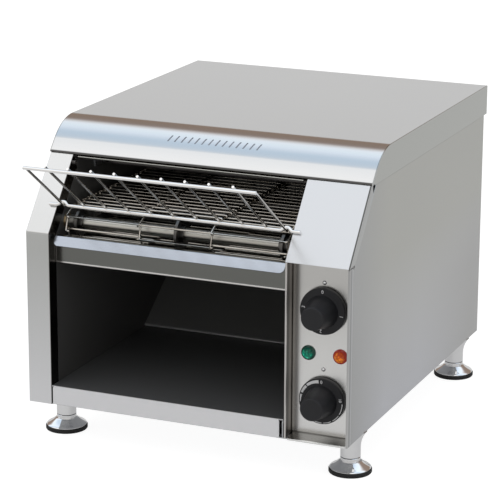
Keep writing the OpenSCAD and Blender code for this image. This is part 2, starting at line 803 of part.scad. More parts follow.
module lower_elements() {
  color("dimgray") seat() for (y = lower_y) hairpin_element(y, lower_z);
}

module element_brackets() {
  color("silver") seat() {
    for (e = concat([for (y = upper_y) [y, upper_z]], [for (y = lower_y) [y, lower_z]])) {
      y = e[0] + hairpin / 2;
      z = e[1] - element_d / 2 - sheet;
      block([open_l, y - 8, z], [open_l + 16, y + 8, z + sheet]);
      block([open_l, y - 8, z - 7], [open_l + sheet, y + 8, z]);
    }
  }
}

module element_terminals() {
  color("white") seat() for (e = element_ends()) difference() {
    union() {
      rod_x(open_r, open_r + sheet, e[0], e[1], 11.9);
      rod_x(open_r + sheet, open_r + 8, e[0], e[1], 14);
    }
    rod_x(open_r - 1, open_r + 10, e[0], e[1], element_d + 0.1);
  }
}

// ---------- cooling and electrics ----------

fan_x = (open_r + sheet + inner_x) / 2;
fan_z = knee_z - 9;
fan_w = 60;
fan_t = 20;
gland_z = base_z + 27;

module fan_frame() {
  y1 = body_d - sheet;
  color("black") seat() translate([fan_x, y1 - fan_t, fan_z]) rotate([-90, 0, 0]) difference() {
    union() {
      difference() {
        translate([-fan_w / 2, -fan_w / 2, 0]) cube([fan_w, fan_w, fan_t]);
        translate([0, 0, -1]) cylinder(d = 56, h = fan_t + 2);
      }
      cylinder(d = 22, h = 3);
      for (a = [45:90:315]) rotate([0, 0, a]) translate([10, -2, 0]) cube([20, 4, 3]);
    }
    for (x = [-25, 25], y = [-25, 25])
      translate([x, y, -1]) cylinder(d = 4.4, h = fan_t + 2, $fn = 32);
    translate([0, 0, -1]) cylinder(r = 1.5 + run_fit, h = 6, $fn = 32);
  }
}

module fan_impeller() {
  y1 = body_d - sheet;
  color("dimgray") seat() translate([fan_x, y1 - fan_t, fan_z]) rotate([-90, 0, 0]) {
    translate([0, 0, 3.6]) cylinder(d = 24, h = fan_t - 5.2);
    translate([0, 0, 0.6]) cylinder(d = 3, h = 4, $fn = 32);
    for (k = [0:6]) rotate([0, 0, k * 360 / 7]) translate([17.5, 0, fan_t / 2 + 1]) rotate([38, 0, 0])
      cube([16, 1.4, 17], center = true);
  }
}

module switch_body(z, w, h, d) {
  y0 = plate_y + sheet;
  block([dial_x - w / 2, y0, z - h / 2], [dial_x + w / 2, y0 + d, z + h / 2]);
  rod_y(plate_y, y0, dial_x, z, 9.9);
  for (x = [-0.3, 0.3], k = [-0.3, 0.3])
    block([dial_x + x * w - 1.5, y0 + d, z + k * h - 3], [dial_x + x * w + 1.5, y0 + d + 7, z + k * h + 3]);
}

module selector_switch() {
  color("ivory") seat() difference() {
    switch_body(selector_z, 42, 38, 30);
    rod_y(plate_y - 1, plate_y + 16, dial_x, selector_z, 6 + 2 * run_fit);
  }
}

module speed_control() {
  color("ivory") seat() difference() {
    switch_body(speed_z, 44, 44, 24);
    rod_y(plate_y - 1, plate_y + 16, dial_x, speed_z, 6 + 2 * run_fit);
  }
}

module spindle(z) {
  rod_y(plate_y - 20, plate_y + 12, dial_x, z, 6);
}

module selector_spindle() {
  color("silver") seat() spindle(selector_z);
}

module speed_spindle() {
  color("silver") seat() spindle(speed_z);
}

// a round knob: flat skirt for the marks, then a conical grip with a rounded front edge
module knob(z) {
  r = knob_d / 2;
  g = grip_d / 2;
  f = 1.6;
  a = atan2(grip_d / 2 - tip_d / 2, knob_len - skirt_t);
  c = [tip_d / 2 - f, knob_len - gap - f];
  spin_y(plate_y - gap, dial_x, z) difference() {
    polygon(concat(
      [[0, 0], [r - 1, 0], [r, 1], [r, skirt_t - 1], [r - 1, skirt_t]],
      [[g + 0.5, skirt_t], [g, skirt_t + 0.5]],
      [for (t = [a, 30, 50, 70, 90]) c + f * [cos(t), sin(t)]],
      [[0, c[1] + f]]
    ));
    translate([-1, -1]) square([4.02, 22]);
    // hollow back, open to the panel
    translate([8, -1]) square([r - 11, 4]);
  }
}

module selector_knob() {
  color("dimgray") seat() knob(selector_z);
}

module speed_knob() {
  color("dimgray") seat() knob(speed_z);
}

// raised marks on the face of the skirt, turning with the knob: a straight one, and an arc
// from one angle to another between two radii
module mark(z, a, w, t) {
  translate([dial_x, plate_y - gap - skirt_t - 0.6, z]) rotate([0, a, 0])
    translate([-w / 2, 0, knob_d / 2 - 4.1 - t / 2]) cube([w, 0.7, t]);
}

module arc_mark(z, a0, a1, r0, r1) {
  translate([dial_x, plate_y - gap - skirt_t - 0.6, z]) rotate([-90, a0 - 90, 0])
    rotate_extrude(angle = a1 - a0) translate([r0, 0]) square([r1 - r0, 0.7]);
}

module selector_marks() {
  color("white") seat() for (k = [0:3]) mark(selector_z, 90 * k, 1 + 0.5 * k, 3.2);
}

module speed_marks() {
  e = knob_d / 2 - 1.1;
  color("white") seat() {
    mark(speed_z, 0, 1.8, 3.2);
    arc_mark(speed_z, -45, -8, e - 3.4, e - 0.2);
    arc_mark(speed_z, -71.5, -48.5, e - 2.8, e);
    arc_mark(speed_z, -97, -76.5, e - 1.7, e);
    mark(speed_z, 80, 3.4, 3.2);
    for (p = [[90, 119], [124, 146], [151, 173], [178, 198]]) arc_mark(speed_z, p[0], p[1], e - 0.9, e);
  }
}

module lens(x) {
  r = lamp_d / 2;
  seat() spin_y(plate_y, x, lamp_z) difference() {
    union() {
      polygon([[0, 0], [r, 0], [r, 1.2], [r - 1, 2.4], [r - 2, 2.4], [r - 2, 3.4], [0, 3.4]]);
      intersection() {
        translate([0, -4.6]) circle(10);
        translate([0, 3.3]) square([r - 2, 4]);
      }
    }
    translate([-1, -1]) square([r - 2, 3]);
  }
}

module lamp_green() {
  color("green", 0.8) lens(lamp_x - lamp_gap / 2);
}

module lamp_amber() {
  color("orange", 0.8) lens(lamp_x + lamp_gap / 2);
}

module lamp_housings() {
  color("white") seat() for (m = [-1, 1]) {
    x = lamp_x + m * lamp_gap / 2;
    rod_y(plate_y, plate_y + sheet, x, lamp_z, 11.9);
    rod_y(plate_y + sheet, plate_y + 22, x, lamp_z, 14);
    for (k = [-3, 3])
      block([x + k - 0.4, plate_y + 22, lamp_z - 2.4], [x + k + 0.4, plate_y + 30, lamp_z + 2.4]);
  }
}

module control_panel() {
  x0 = open_r + sheet + seam;
  x1 = inner_x - sheet - 0.1;
  color("silver") seat() difference() {
    union() {
      block([x0, plate_y, base_z + 1.8], [x1, plate_y + sheet, knee_z]);
      // shelf sloping down to the front edge that closes the recess below
      along_x(open_r + 3.6, skin_x - 3.7) polygon([
        [0, base_z - 0.5], [0, base_z + 1.3], [plate_y + 0.5, base_z + 3.5], [plate_y + 0.5, base_z + 2.3],
        [sheet, base_z + 0.2], [sheet, base_z - 0.5]
      ]);
      // stiffening return on the left
      block([x0, plate_y + sheet, base_z + 3], [x0 + sheet, plate_y + 9, knee_z]);
    }
    for (z = [selector_z, speed_z])
      rod_y(plate_y - 1, plate_y + 3, dial_x, z, 10);
    for (m = [-1, 1])
      rod_y(plate_y - 1, plate_y + 3, lamp_x + m * lamp_gap / 2, lamp_z, 12);
    for (z = rivet_z)
      rod_y(plate_y - 1, plate_y + 3, dial_x, z, 2.9, $fn = 32);
  }
}

module thermal_cutout() {
  color("black") seat() {
    x = open_r + sheet;
    z = knee_z + 34;
    rod_x(x, x + 9, 150, z, 20);
    block([x, 138, z - 1], [x + 1.5, 162, z + 1]);
    for (y = [146, 154]) block([x + 9, y - 0.4, z - 3], [x + 16, y + 0.4, z + 3]);
  }
}

module terminal_block() {
  color("ivory") seat() translate([dial_x, body_d - 72, pan_top]) difference() {
    block([-26, -12, 0], [26, 12, 20]);
    for (i = [-1:1]) {
      translate([16 * i, 0, 8]) cylinder(d = 7, h = 13, $fn = 32);
      rod_y(-13, 13, 16 * i, 6, 5, $fn = 32);
    }
  }
}

module cable_gland() {
  color("black") seat() difference() {
    union() {
      rod_y(body_d - sheet - 7, body_d, dial_x, gland_z, 19.8);
      translate([dial_x, body_d + 5, gland_z]) rotate([90, 0, 0]) cylinder(d = 30, h = 5, $fn = 6);
      rod_y(body_d + 5, gland_y, dial_x, gland_z, 21);
      translate([dial_x, body_d - sheet, gland_z]) rotate([90, 0, 0]) cylinder(d = 30, h = 4, $fn = 6);
    }
    rod_y(body_d - 20, gland_y + 1, dial_x, gland_z, 11);
  }
}

// ---------- feet ----------

module each_leg() {
  for (x = [-foot_x, foot_x], y = [foot_front, foot_rear]) translate([x, y, 0]) children();
}

leg_z = 17.4;      // lower end of a leg

module legs() {
  r = leg_d / 2;
  flare = 6.5;     // how far the top stands out
  flare_r = 28.2;
  flare_z = base_z - sqrt(flare_r * flare_r - pow(flare_r - flare, 2));
  color("silver") seat() each_leg() difference() {
    rotate_extrude() difference() {
      translate([0, leg_z]) square([r + flare, base_z - leg_z]);
      translate([r + flare_r, flare_z]) circle(flare_r, $fn = 96);
      translate([r, leg_z - 1]) square([flare + 1, flare_z - leg_z + 1]);
    }
    translate([0, 0, leg_z - 1]) cylinder(d = 8.2, h = base_z - leg_z - 2);
  }
}

module foot() {
  r = leg_d / 2;
  color("silver") seat() rotate_extrude() polygon([
    [0, 1], [foot_d / 2 - 4.04, 1], [foot_d / 2 - 4.04, 5],
    [foot_d / 2 - 1, 5], [foot_d / 2 - 1.6, 6.4], [r + 2.4, 12.4],
    [r - 0.6, 13.4], [r - 0.6, 14.6], [r, 15.2], [r, leg_z - gap], [4, leg_z - gap],
    [4, leg_z + 19], [0, leg_z + 19]
  ]);
}

module ring() {
  seat() difference() {
    rotate_extrude() polygon([
      [0, 0], [foot_d / 2 - 1, 0], [foot_d / 2, 1], [foot_d / 2, 4.2], [foot_d / 2 - 0.8, 5], [0, 5]
    ]);
    translate([0, 0, 1]) cylinder(r = foot_d / 2 - 4, h = 5);
  }
}

module foot_at(x, y) {
  translate([x, y, 0]) children();
}

module foot_front_left() { foot_at(-foot_x, foot_front) foot(); }
module foot_front_right() { foot_at(foot_x, foot_front) foot(); }
module foot_rear_left() { foot_at(-foot_x, foot_rear) foot(); }
module foot_rear_right() { foot_at(foot_x, foot_rear) foot(); }
module foot_rings_fl() { color("black") foot_at(-foot_x, foot_front) ring(); }
module foot_rings_fr() { color("black") foot_at(foot_x, foot_front) ring(); }
module foot_rings_rl() { color("black") foot_at(-foot_x, foot_rear) ring(); }
module foot_rings_rr() { color("black") foot_at(foot_x, foot_rear) ring(); }

base_pan();
tray_guides();
side_panel_left();
side_panel_right();
left_column();
slope_cover();
left_liner();
divider_wall();
rear_panel();
rear_baffle();
top_cover();
top_insulation();
panel_screws();
control_panel();
upper_reflector();
lower_reflector();
return_chute();
collection_tray();
feed_rack();
conveyor_belt();
belt_drive_wrap();
front_shaft();
front_wheels();
drive_shaft();
drive_sprockets();
shaft_bushings();
driven_chain_wheel();
motor_chain_wheel();
drive_chain();
gear_motor();
motor_bracket();
upper_elements();
lower_elements();
element_brackets();
element_terminals();
fan_frame();
fan_impeller();
selector_switch();
selector_spindle();
selector_knob();
selector_marks();
speed_control();
speed_spindle();
speed_knob();
speed_marks();
lamp_green();
lamp_amber();
lamp_housings();
thermal_cutout();
terminal_block();
cable_gland();
legs();
foot_front_left();
foot_front_right();
foot_rear_left();
foot_rear_right();
foot_rings_fl();
foot_rings_fr();
foot_rings_rl();
foot_rings_rr();
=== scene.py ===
import json
import math

import bmesh
import bpy
from mathutils import Matrix, Vector


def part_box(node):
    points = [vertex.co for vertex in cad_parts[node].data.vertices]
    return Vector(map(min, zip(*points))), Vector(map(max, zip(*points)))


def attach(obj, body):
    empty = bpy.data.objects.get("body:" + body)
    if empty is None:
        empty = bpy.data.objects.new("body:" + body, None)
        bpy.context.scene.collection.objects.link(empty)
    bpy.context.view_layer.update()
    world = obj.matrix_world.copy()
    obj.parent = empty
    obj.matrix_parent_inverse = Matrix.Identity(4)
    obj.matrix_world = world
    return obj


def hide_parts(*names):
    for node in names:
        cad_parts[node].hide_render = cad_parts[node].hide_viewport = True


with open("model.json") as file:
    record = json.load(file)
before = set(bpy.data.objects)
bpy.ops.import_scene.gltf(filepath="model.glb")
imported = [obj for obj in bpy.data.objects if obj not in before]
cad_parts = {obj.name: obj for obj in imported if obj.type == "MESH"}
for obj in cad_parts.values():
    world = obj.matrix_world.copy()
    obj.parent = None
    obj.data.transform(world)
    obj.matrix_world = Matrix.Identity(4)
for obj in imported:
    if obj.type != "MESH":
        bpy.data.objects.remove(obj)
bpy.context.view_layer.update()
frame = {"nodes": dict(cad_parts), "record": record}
nodes = frame["nodes"]
scene = bpy.context.scene
print("frame loaded:", len(nodes), "nodes")

mm = 0.001
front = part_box("left_column")[0].y           # the plane of the cabinet's front
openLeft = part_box("left_column")[1].x        # the belt opening, left to right
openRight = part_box("divider_wall")[0].x
midX = (openLeft + openRight) / 2
panelFace = 18                               # the control panel's face behind the front plane, in millimetres


def at(x, y, z):     # millimetres from the cabinet's front plane and the table, to metres
    return Vector((x * mm, front + y * mm, z * mm))


# finishes

finishes = {}
mixFirst, mixSecond, mixColor = 6, 7, 2      # the colour sockets of a Mix node: A, B and its result


def mathNode(tree, operation, *sources):     # a Math node fed by sockets or by plain numbers
    node = tree.nodes.new("ShaderNodeMath")
    node.operation = operation
    for socket, source in zip(node.inputs, sources):
        if isinstance(source, (int, float)):
            socket.default_value = source
        else:
            tree.links.new(source, socket)
    return node.outputs[0]


def newFinish(name):
    mat = bpy.data.materials.new(name)
    mat.use_nodes = True
    finishes[name] = mat
    return mat, mat.node_tree, mat.node_tree.links, mat.node_tree.nodes["Principled BSDF"]


def noise(mat, scale, detail=2.0, stretch=(1, 1, 1), rough=0.5):
    tree = mat.node_tree
    coord = tree.nodes.new("ShaderNodeTexCoord")
    mapping = tree.nodes.new("ShaderNodeMapping")
    mapping.inputs["Scale"].default_value = stretch
    tex = tree.nodes.new("ShaderNodeTexNoise")
    tex.inputs["Scale"].default_value = scale
    tex.inputs["Detail"].default_value = detail
    tex.inputs["Roughness"].default_value = rough
    tree.links.new(coord.outputs["Object"], mapping.inputs["Vector"])
    tree.links.new(mapping.outputs["Vector"], tex.inputs["Vector"])
    return tex.outputs["Fac"]


def spread(mat, fac, low, high, start=0.3, end=0.7):
    node = mat.node_tree.nodes.new("ShaderNodeMapRange")
    node.inputs["From Min"].default_value = start
    node.inputs["From Max"].default_value = end
    node.inputs["To Min"].default_value = low
    node.inputs["To Max"].default_value = high
    mat.node_tree.links.new(fac, node.inputs["Value"])
    return node.outputs["Result"]


def blendColor(mat, fac, first, second):
    node = mat.node_tree.nodes.new("ShaderNodeMix")
    node.data_type = "RGBA"
    mat.node_tree.links.new(fac, node.inputs["Factor"])
    for index, color in ((mixFirst, first), (mixSecond, second)):
        node.inputs[index].default_value = (*color, 1)
    return node.outputs[mixColor]


def bumpFrom(mat, height, strength, distance):
    node = mat.node_tree.nodes.new("ShaderNodeBump")
    node.inputs["Strength"].default_value = strength
    node.inputs["Distance"].default_value = distance
    mat.node_tree.links.new(height, node.inputs["Height"])
    return node.outputs["Normal"]


def along(mat, axis, start, end):      # 0 at start, 1 at end, along one axis of the object
    tree = mat.node_tree
    coord = tree.nodes.new("ShaderNodeTexCoord")
    split = tree.nodes.new("ShaderNodeSeparateXYZ")
    tree.links.new(coord.outputs["Object"], split.inputs[0])
    low, high, first, second = (start, end, 0, 1) if start < end else (end, start, 1, 0)
    return spread(mat, split.outputs[axis], first, second, low, high)


def over(mat, fac, under, color):      # a color laid over what is there
    node = mat.node_tree.nodes.new("ShaderNodeMix")
    node.data_type = "RGBA"
    mat.node_tree.links.new(fac, node.inputs["Factor"])
    mat.node_tree.links.new(under, node.inputs[mixFirst])
    node.inputs[mixSecond].default_value = (*color, 1)
    return node.outputs[mixColor]


def steel(name, color, tint=None, rough=(0.26, 0.28), grain=(1, 60, 60), grainScale=14, bump=0.004, clouds=5,
          metal=1.0, zones=()):
    mat, tree, links, shader = newFinish(name)
    tint = tint or tuple(c * 0.94 for c in color)
    streaks = noise(mat, grainScale, 3, grain, 0.6)
    patches = noise(mat, clouds, 2)
    paint = blendColor(mat, spread(mat, patches, 0, 1), color, tint)
    # each zone lays a colour over one stretch of a piece; most zones in this script are painted light and
    # shade
    for axis, start, end, zoneColor, *within in zones:      # within: a second axis that limits it
        fac = along(mat, axis, start, end)
        if within:
            fac = mathNode(tree, "MULTIPLY", fac, along(mat, *within))
        paint = over(mat, fac, paint, zoneColor)
    links.new(paint, shader.inputs["Base Color"])
    links.new(spread(mat, streaks, rough[0], rough[1]), shader.inputs["Roughness"])
    links.new(bumpFrom(mat, streaks, bump, 0.0004), shader.inputs["Normal"])
    shader.inputs["Metallic"].default_value = metal
    return mat


def plastic(name, color, tint=None, rough=(0.4, 0.5), grainScale=900, bump=0.1, coat=0.0, specular=0.5):
    mat, tree, links, shader = newFinish(name)
    tint = tint or tuple(c * 0.85 for c in color)
    patches = noise(mat, 24, 2)
    grains = noise(mat, grainScale, 2)
    links.new(blendColor(mat, spread(mat, patches, 0, 1), color, tint), shader.inputs["Base Color"])
    links.new(spread(mat, grains, rough[0], rough[1]), shader.inputs["Roughness"])
    links.new(bumpFrom(mat, grains, bump, 0.0002), shader.inputs["Normal"])
    shader.inputs["Coat Weight"].default_value = coat
    shader.inputs["Specular IOR Level"].default_value = specular
    return mat


alongX = (1, 70, 70)
alongY = (70, 1, 70)
# painted light on the lid: below z 0.3114 it is near black as a painted shadow under its front edge, a dark
# line along each side fold is painted shade, and the side skirts are darker as painted shade
steel("lid_steel", (0.645, 0.645, 0.643), (0.635, 0.635, 0.633), (0.10, 0.12), alongX, zones=(
    ("Z", 0.3122, 0.3114, (0.07, 0.068, 0.065)), ("X", 0.18335, 0.18355, (0.30, 0.295, 0.28)),
    ("X", -0.18335, -0.18355, (0.30, 0.295, 0.28)),
    ("X", 0.18395, 0.1842, (0.475, 0.482, 0.458)), ("X", -0.18395, -0.1842, (0.475, 0.482, 0.458))))
# painted light on the panel sheets: lighter and bluish towards the bottom as a painted reflection, darker
# towards the back (more so lower down) and towards the front edge as painted shade, and a dark band at the
# top as a painted shadow under the lid's skirt
steel("panel_steel", (0.495, 0.495, 0.465), (0.485, 0.486, 0.456), (0.24, 0.26), alongY, zones=(
    ("Z", 0.22, 0.06, (0.565, 0.572, 0.605)),
    ("Y", front + 0.22, front + 0.40, (0.45, 0.45, 0.445), "Z", 0.23, 0.14),
    ("Y", front + 0.11, front + 0.008, (0.43, 0.435, 0.435)), ("Z", 0.3070, 0.3078, (0.38, 0.38, 0.36))))
# painted light on the left column: lighter and bluish towards the bottom as a painted reflection of the
# floor, its sloping part above the knee lighter as a painted highlight, and a near-black strip along its edge
# at the opening as painted shade
steel("column_steel", (0.555, 0.56, 0.545), (0.545, 0.55, 0.536), (0.22, 0.24), alongX, zones=(
    ("Z", 0.215, 0.055, (0.75, 0.75, 0.765)), ("Z", 0.2335, 0.2365, (0.625, 0.625, 0.62)),
    ("Z", 0.25, 0.29, (0.66, 0.66, 0.655)),
    ("X", openLeft - 0.0009, openLeft - 0.0002, (0.07, 0.063, 0.057))))
# painted light on the right sloping cover: a dark line along its outer fold and a darker strip beyond it are
# painted shade; the post below the knee is darker as painted shade on a front-facing face, with a dark band
# 3.5 to 6 mm behind the front as painted shade at its rounded corner
steel("slope_steel", (0.585, 0.60, 0.625), (0.575, 0.59, 0.615), (0.22, 0.24), alongX, zones=(
    ("X", 0.1815, 0.1818, (0.10, 0.10, 0.098)), ("X", 0.18315, 0.18325, (0.49, 0.495, 0.49)),
    ("Z", 0.2365, 0.2335, (0.44, 0.44, 0.435)), ("Z", 0.22, 0.10, (0.51, 0.51, 0.505)),
    ("Y", front + 0.0015, front + 0.0035, (0.33, 0.335, 0.34), "Z", 0.2365, 0.2335),
    ("Y", front + 0.0060, front + 0.0075, (0.50, 0.505, 0.51), "Z", 0.2365, 0.2335)))
# painted light on the control panel: lighter towards the bottom as a painted reflection, dark below z 0.050
# as painted shade on the shelf at the foot of its recess, and a bright front edge as a painted highlight
steel("face_steel", (0.59, 0.58, 0.56), (0.58, 0.57, 0.55), (0.22, 0.24), alongX, zones=(
    ("Z", 0.21, 0.14, (0.75, 0.745, 0.73)), ("Z", 0.14, 0.06, (0.80, 0.795, 0.785)),
    ("Z", 0.0508, 0.0500, (0.29, 0.285, 0.275)), ("Y", front + 0.0018, front + 0.0013, (0.85, 0.85, 0.84))))
steel("oven_steel", (0.088, 0.087, 0.085), (0.078, 0.077, 0.075), (0.36, 0.40), alongY, metal=0.25)
# painted light on the divider: its front edge is bright as a painted highlight; it is also lighter deeper
# than 10.5 mm behind the front than nearer to it
steel("divider_steel", (0.085, 0.075, 0.065), (0.078, 0.069, 0.061), (0.3, 0.33), alongY, zones=(
    ("Y", front + 0.0085, front + 0.0105, (0.20, 0.18, 0.16)),
    ("Y", front + 0.0018, front + 0.0013, (0.60, 0.58, 0.56))))
# painted light on the upper reflector: one sheet is near black below z 0.3066 and lighter steel above z
# 0.3072, painted shade and painted light
steel("reflector_steel", (0.10, 0.10, 0.095), (0.085, 0.085, 0.08), (0.24, 0.28), alongX, zones=(
    ("Z", 0.3066, 0.3072, (0.50, 0.50, 0.47)),))
# painted light on the lower reflector: darker towards the left as painted shade; its set-back fascia is dark,
# partly its own brownish tone and partly painted shade under the strip; lighter below z 0.2028 and at the
# fascia's left end as painted highlights
steel("fascia_steel", (0.47, 0.51, 0.575), (0.46, 0.50, 0.565), (0.2, 0.22), alongX, zones=(
    ("X", 0.06, -0.10, (0.425, 0.46, 0.52)), ("Y", front + 0.0108, front + 0.0114, (0.17, 0.172, 0.16)),
    ("Z", 0.2034, 0.2028, (0.62, 0.61, 0.60)),
    ("X", -0.1545, -0.1553, (0.75, 0.75, 0.72), "Y", front + 0.0108, front + 0.0114)))
# painted highlight: the tray's foremost face, at the front plane, is light on an otherwise dark tray
steel("tray_steel", (0.108, 0.11, 0.113), (0.095, 0.097, 0.10), (0.3, 0.33), alongX, metal=0.2, zones=(
    ("Y", front + 0.0004, front - 0.0002, (0.76, 0.76, 0.775)),))
# painted light: the return chute is lighter below z 0.0706
steel("chute_steel", (0.24, 0.24, 0.238), (0.215, 0.215, 0.213), (0.3, 0.34), alongX, metal=0.2, zones=(
    ("Z", 0.0712, 0.0706, (0.45, 0.45, 0.46)),))
steel("pan_steel", (0.50, 0.51, 0.52), (0.42, 0.43, 0.45), (0.3, 0.45), (1, 1, 1), 90, 0.05, 40)
steel("rack_chrome", (0.86, 0.85, 0.84), (0.76, 0.74, 0.71), (0.07, 0.12), (1, 1, 1), 60, 0.01, 30, zones=(
    ("Z", 0.2680, 0.2700, (0.56, 0.53, 0.49)), ("Z", 0.3165, 0.3185, (0.86, 0.85, 0.84))))
steel("belt_steel", (0.60, 0.57, 0.53), (0.46, 0.42, 0.37), (0.16, 0.26), (1, 1, 1), 120, 0.02, 30)
# painted light: the shaft is lighter towards its left end
steel("shaft_steel", (0.50, 0.485, 0.445), (0.47, 0.455, 0.42), (0.34, 0.38), alongX, 20, 0.01, 14, zones=(
    ("X", 0.02, -0.10, (0.60, 0.59, 0.55)),))
steel("wheel_steel", (0.13, 0.125, 0.12), (0.08, 0.078, 0.075), (0.25, 0.4), (1, 1, 1), 200, 0.05, 40)
steel("chain_steel", (0.26, 0.25, 0.24), (0.16, 0.15, 0.14), (0.3, 0.45), (1, 1, 1), 300, 0.1, 60)
steel("bushing_bronze", (0.60, 0.44, 0.24), (0.5, 0.36, 0.2), (0.3, 0.4), (1, 1, 1), 300, 0.1, 60)
steel("element_sheath", (0.16, 0.15, 0.15), (0.10, 0.095, 0.09), (0.4, 0.6), (1, 1, 1), 200, 0.15, 20)
steel("screw_zinc", (0.68, 0.68, 0.69), (0.60, 0.60, 0.61), (0.15, 0.25), (1, 1, 1), 400, 0.03, 80)
steel("spindle_steel", (0.6, 0.6, 0.6), (0.5, 0.5, 0.5), (0.2, 0.3), (1, 1, 1), 400, 0.05, 80)
steel("etched_steel", (0.30, 0.30, 0.32), (0.24, 0.24, 0.26), (0.45, 0.6), (1, 1, 1), 300, 0.1, 60)
steel("foot_chrome", (0.80, 0.80, 0.80), (0.75, 0.75, 0.76), (0.04, 0.08), (1, 1, 1), 60, 0.005, 40)
plastic("motor_grey", (0.12, 0.13, 0.14), None, (0.35, 0.5), 500, 0.2)
plastic("ceramic_white", (0.80, 0.78, 0.73), (0.72, 0.69, 0.62), (0.15, 0.25), 300, 0.05, 0.4)
plastic("wool_tan", (0.50, 0.43, 0.30), (0.38, 0.32, 0.22), (0.85, 0.95), 260, 0.8)
plastic("knob_black", (0.016, 0.016, 0.018), (0.012, 0.012, 0.014), (0.42, 0.5), 1200, 0.04, 0.0, 0.3)
plastic("mark_white", (0.74, 0.74, 0.74), (0.66, 0.66, 0.67), (0.5, 0.6), 1500, 0.05)
plastic("switch_ivory", (0.62, 0.58, 0.47), None, (0.35, 0.45), 900, 0.05)
plastic("black_plastic", (0.018, 0.018, 0.02), None, (0.35, 0.45), 900, 0.1)
plastic("foot_rubber", (0.014, 0.014, 0.014), (0.02, 0.02, 0.02), (0.55, 0.7), 900, 0.25, 0.0, 0.3)


# a tinted lens: bright cells inside and a dark ring towards its rim; its lower left is lighter as a painted
# highlight and its upper right darker as painted shade
def lensFinish(name, center, colors, rimColor, glow):
    mat, tree, links, shader = newFinish(name)
    coord = tree.nodes.new("ShaderNodeTexCoord")
    offset = tree.nodes.new("ShaderNodeVectorMath")
    offset.operation = "SUBTRACT"
    offset.inputs[1].default_value = center
    flat = tree.nodes.new("ShaderNodeVectorMath")
    flat.operation = "MULTIPLY"
    flat.inputs[1].default_value = (1, 0, 1)
    far = tree.nodes.new("ShaderNodeVectorMath")
    far.operation = "LENGTH"
    slant = tree.nodes.new("ShaderNodeVectorMath")
    slant.operation = "DOT_PRODUCT"
    slant.inputs[1].default_value = (-0.6, 0, -0.8)
    cells = tree.nodes.new("ShaderNodeTexVoronoi")
    cells.inputs["Scale"].default_value = 330
    links.new(coord.outputs["Object"], offset.inputs[0])
    links.new(offset.outputs[0], flat.inputs[0])
    links.new(flat.outputs[0], far.inputs[0])
    links.new(flat.outputs[0], slant.inputs[0])
    links.new(coord.outputs["Object"], cells.inputs["Vector"])
    deep, mid, light = colors
    paint = blendColor(mat, spread(mat, cells.outputs["Distance"], 0, 1, 0.1, 0.6), mid, deep)
    # painted highlight: the lens is lighter towards its lower left
    bright = mathNode(tree, "MULTIPLY", spread(mat, slant.outputs["Value"], 0, 1, -0.001, 0.005),
                      spread(mat, cells.outputs["Distance"], 1, 0.3, 0.1, 0.6))
    paint = over(mat, bright, paint, light)
    # painted shade: the lens is darker towards its upper right
    paint = over(mat, spread(mat, slant.outputs["Value"], 1, 0, -0.006, -0.001), paint, deep)
    paint = over(mat, spread(mat, far.outputs["Value"], 0, 1, 0.0050, 0.0062), paint, rimColor)
    links.new(paint, shader.inputs["Base Color"])
    links.new(paint, shader.inputs["Emission Color"])
    shader.inputs["Emission Strength"].default_value = glow
    shader.inputs["Roughness"].default_value = 0.15
    shader.inputs["Specular IOR Level"].default_value = 0.4
    return mat


lamp = {"x": 150.125, "gap": 35.0, "z": 137.35, "r": 7.85, "sides": 12, "rows": 3, "sink": 0.45,
        "domeFrom": 2.9}
lensFinish("lens_green", at(lamp["x"] - lamp["gap"] / 2, panelFace, lamp["z"]),
           ((0.0, 0.06, 0.04), (0.005, 0.27, 0.155), (0.05, 0.80, 0.50)), (0.0, 0.03, 0.02), 0.35)
lensFinish("lens_amber", at(lamp["x"] + lamp["gap"] / 2, panelFace, lamp["z"]),
           ((0.34, 0.045, 0.008), (0.82, 0.22, 0.016), (1.0, 0.40, 0.03)), (0.24, 0.015, 0.008), 0.35)

# the record's slot of every node gives its finish
slotOf = {part["node"]: part["material_slot"] for part in frame["record"]["subparts"]}
for nodeName, node in nodes.items():
    node.data.materials.clear()
    node.data.materials.append(finishes[slotOf[nodeName]])
print("finishes made:", len(finishes))

# shared tools


def shadeBy(bm, sharpAngle):
    limit = math.radians(sharpAngle)
    for face in bm.faces:
        face.smooth = True
    for edge in bm.edges:
        edge.smooth = len(edge.link_faces) == 2 and edge.calc_face_angle(0) < limit


def placePiece(bm, name, body, slot, stands=(), sharpAngle=32, recalc=True, finish=None):
    if recalc:
        bmesh.ops.remove_doubles(bm, verts=bm.verts, dist=1e-6)
        bmesh.ops.recalc_face_normals(bm, faces=bm.faces)
    shadeBy(bm, sharpAngle)
    mesh = bpy.data.meshes.new(name)
    bm.to_mesh(mesh)
    bm.free()
    piece = bpy.data.objects.new(name, mesh)
    scene.collection.objects.link(piece)
    mesh.materials.append(finishes[finish or slot])
    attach(piece, body)
    if stands:
        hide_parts(*stands)
    return piece


# a block that is cut across and then laid along a curved surface by place(across, along, up)
def bentBlock(bm, place, cuts):
    block = bmesh.new()
    bmesh.ops.create_cube(block, size=1)
    long = [edge for edge in block.edges if abs(edge.verts[0].co.y - edge.verts[1].co.y) > 0.5]
    bmesh.ops.subdivide_edges(block, edges=long, cuts=cuts, use_grid_fill=True)
    for vert in block.verts:
        vert.co = place(*vert.co)
    bmesh.ops.recalc_face_normals(block, faces=block.faces)
    mesh = bpy.data.meshes.new("block")
    block.to_mesh(mesh)
    block.free()
    bm.from_mesh(mesh)
    bpy.data.meshes.remove(mesh)


def faceWidth(face):
    return face.calc_area() / max(edge.calc_length() for edge in face.edges)


def bendable(edge, thick):      # a fold between two broad faces, not the cut edge of a sheet
    return (len(edge.link_faces) == 2 and edge.is_convex
            and edge.calc_face_angle(0) > math.radians(25)
            and min(faceWidth(face) for face in edge.link_faces) > thick)


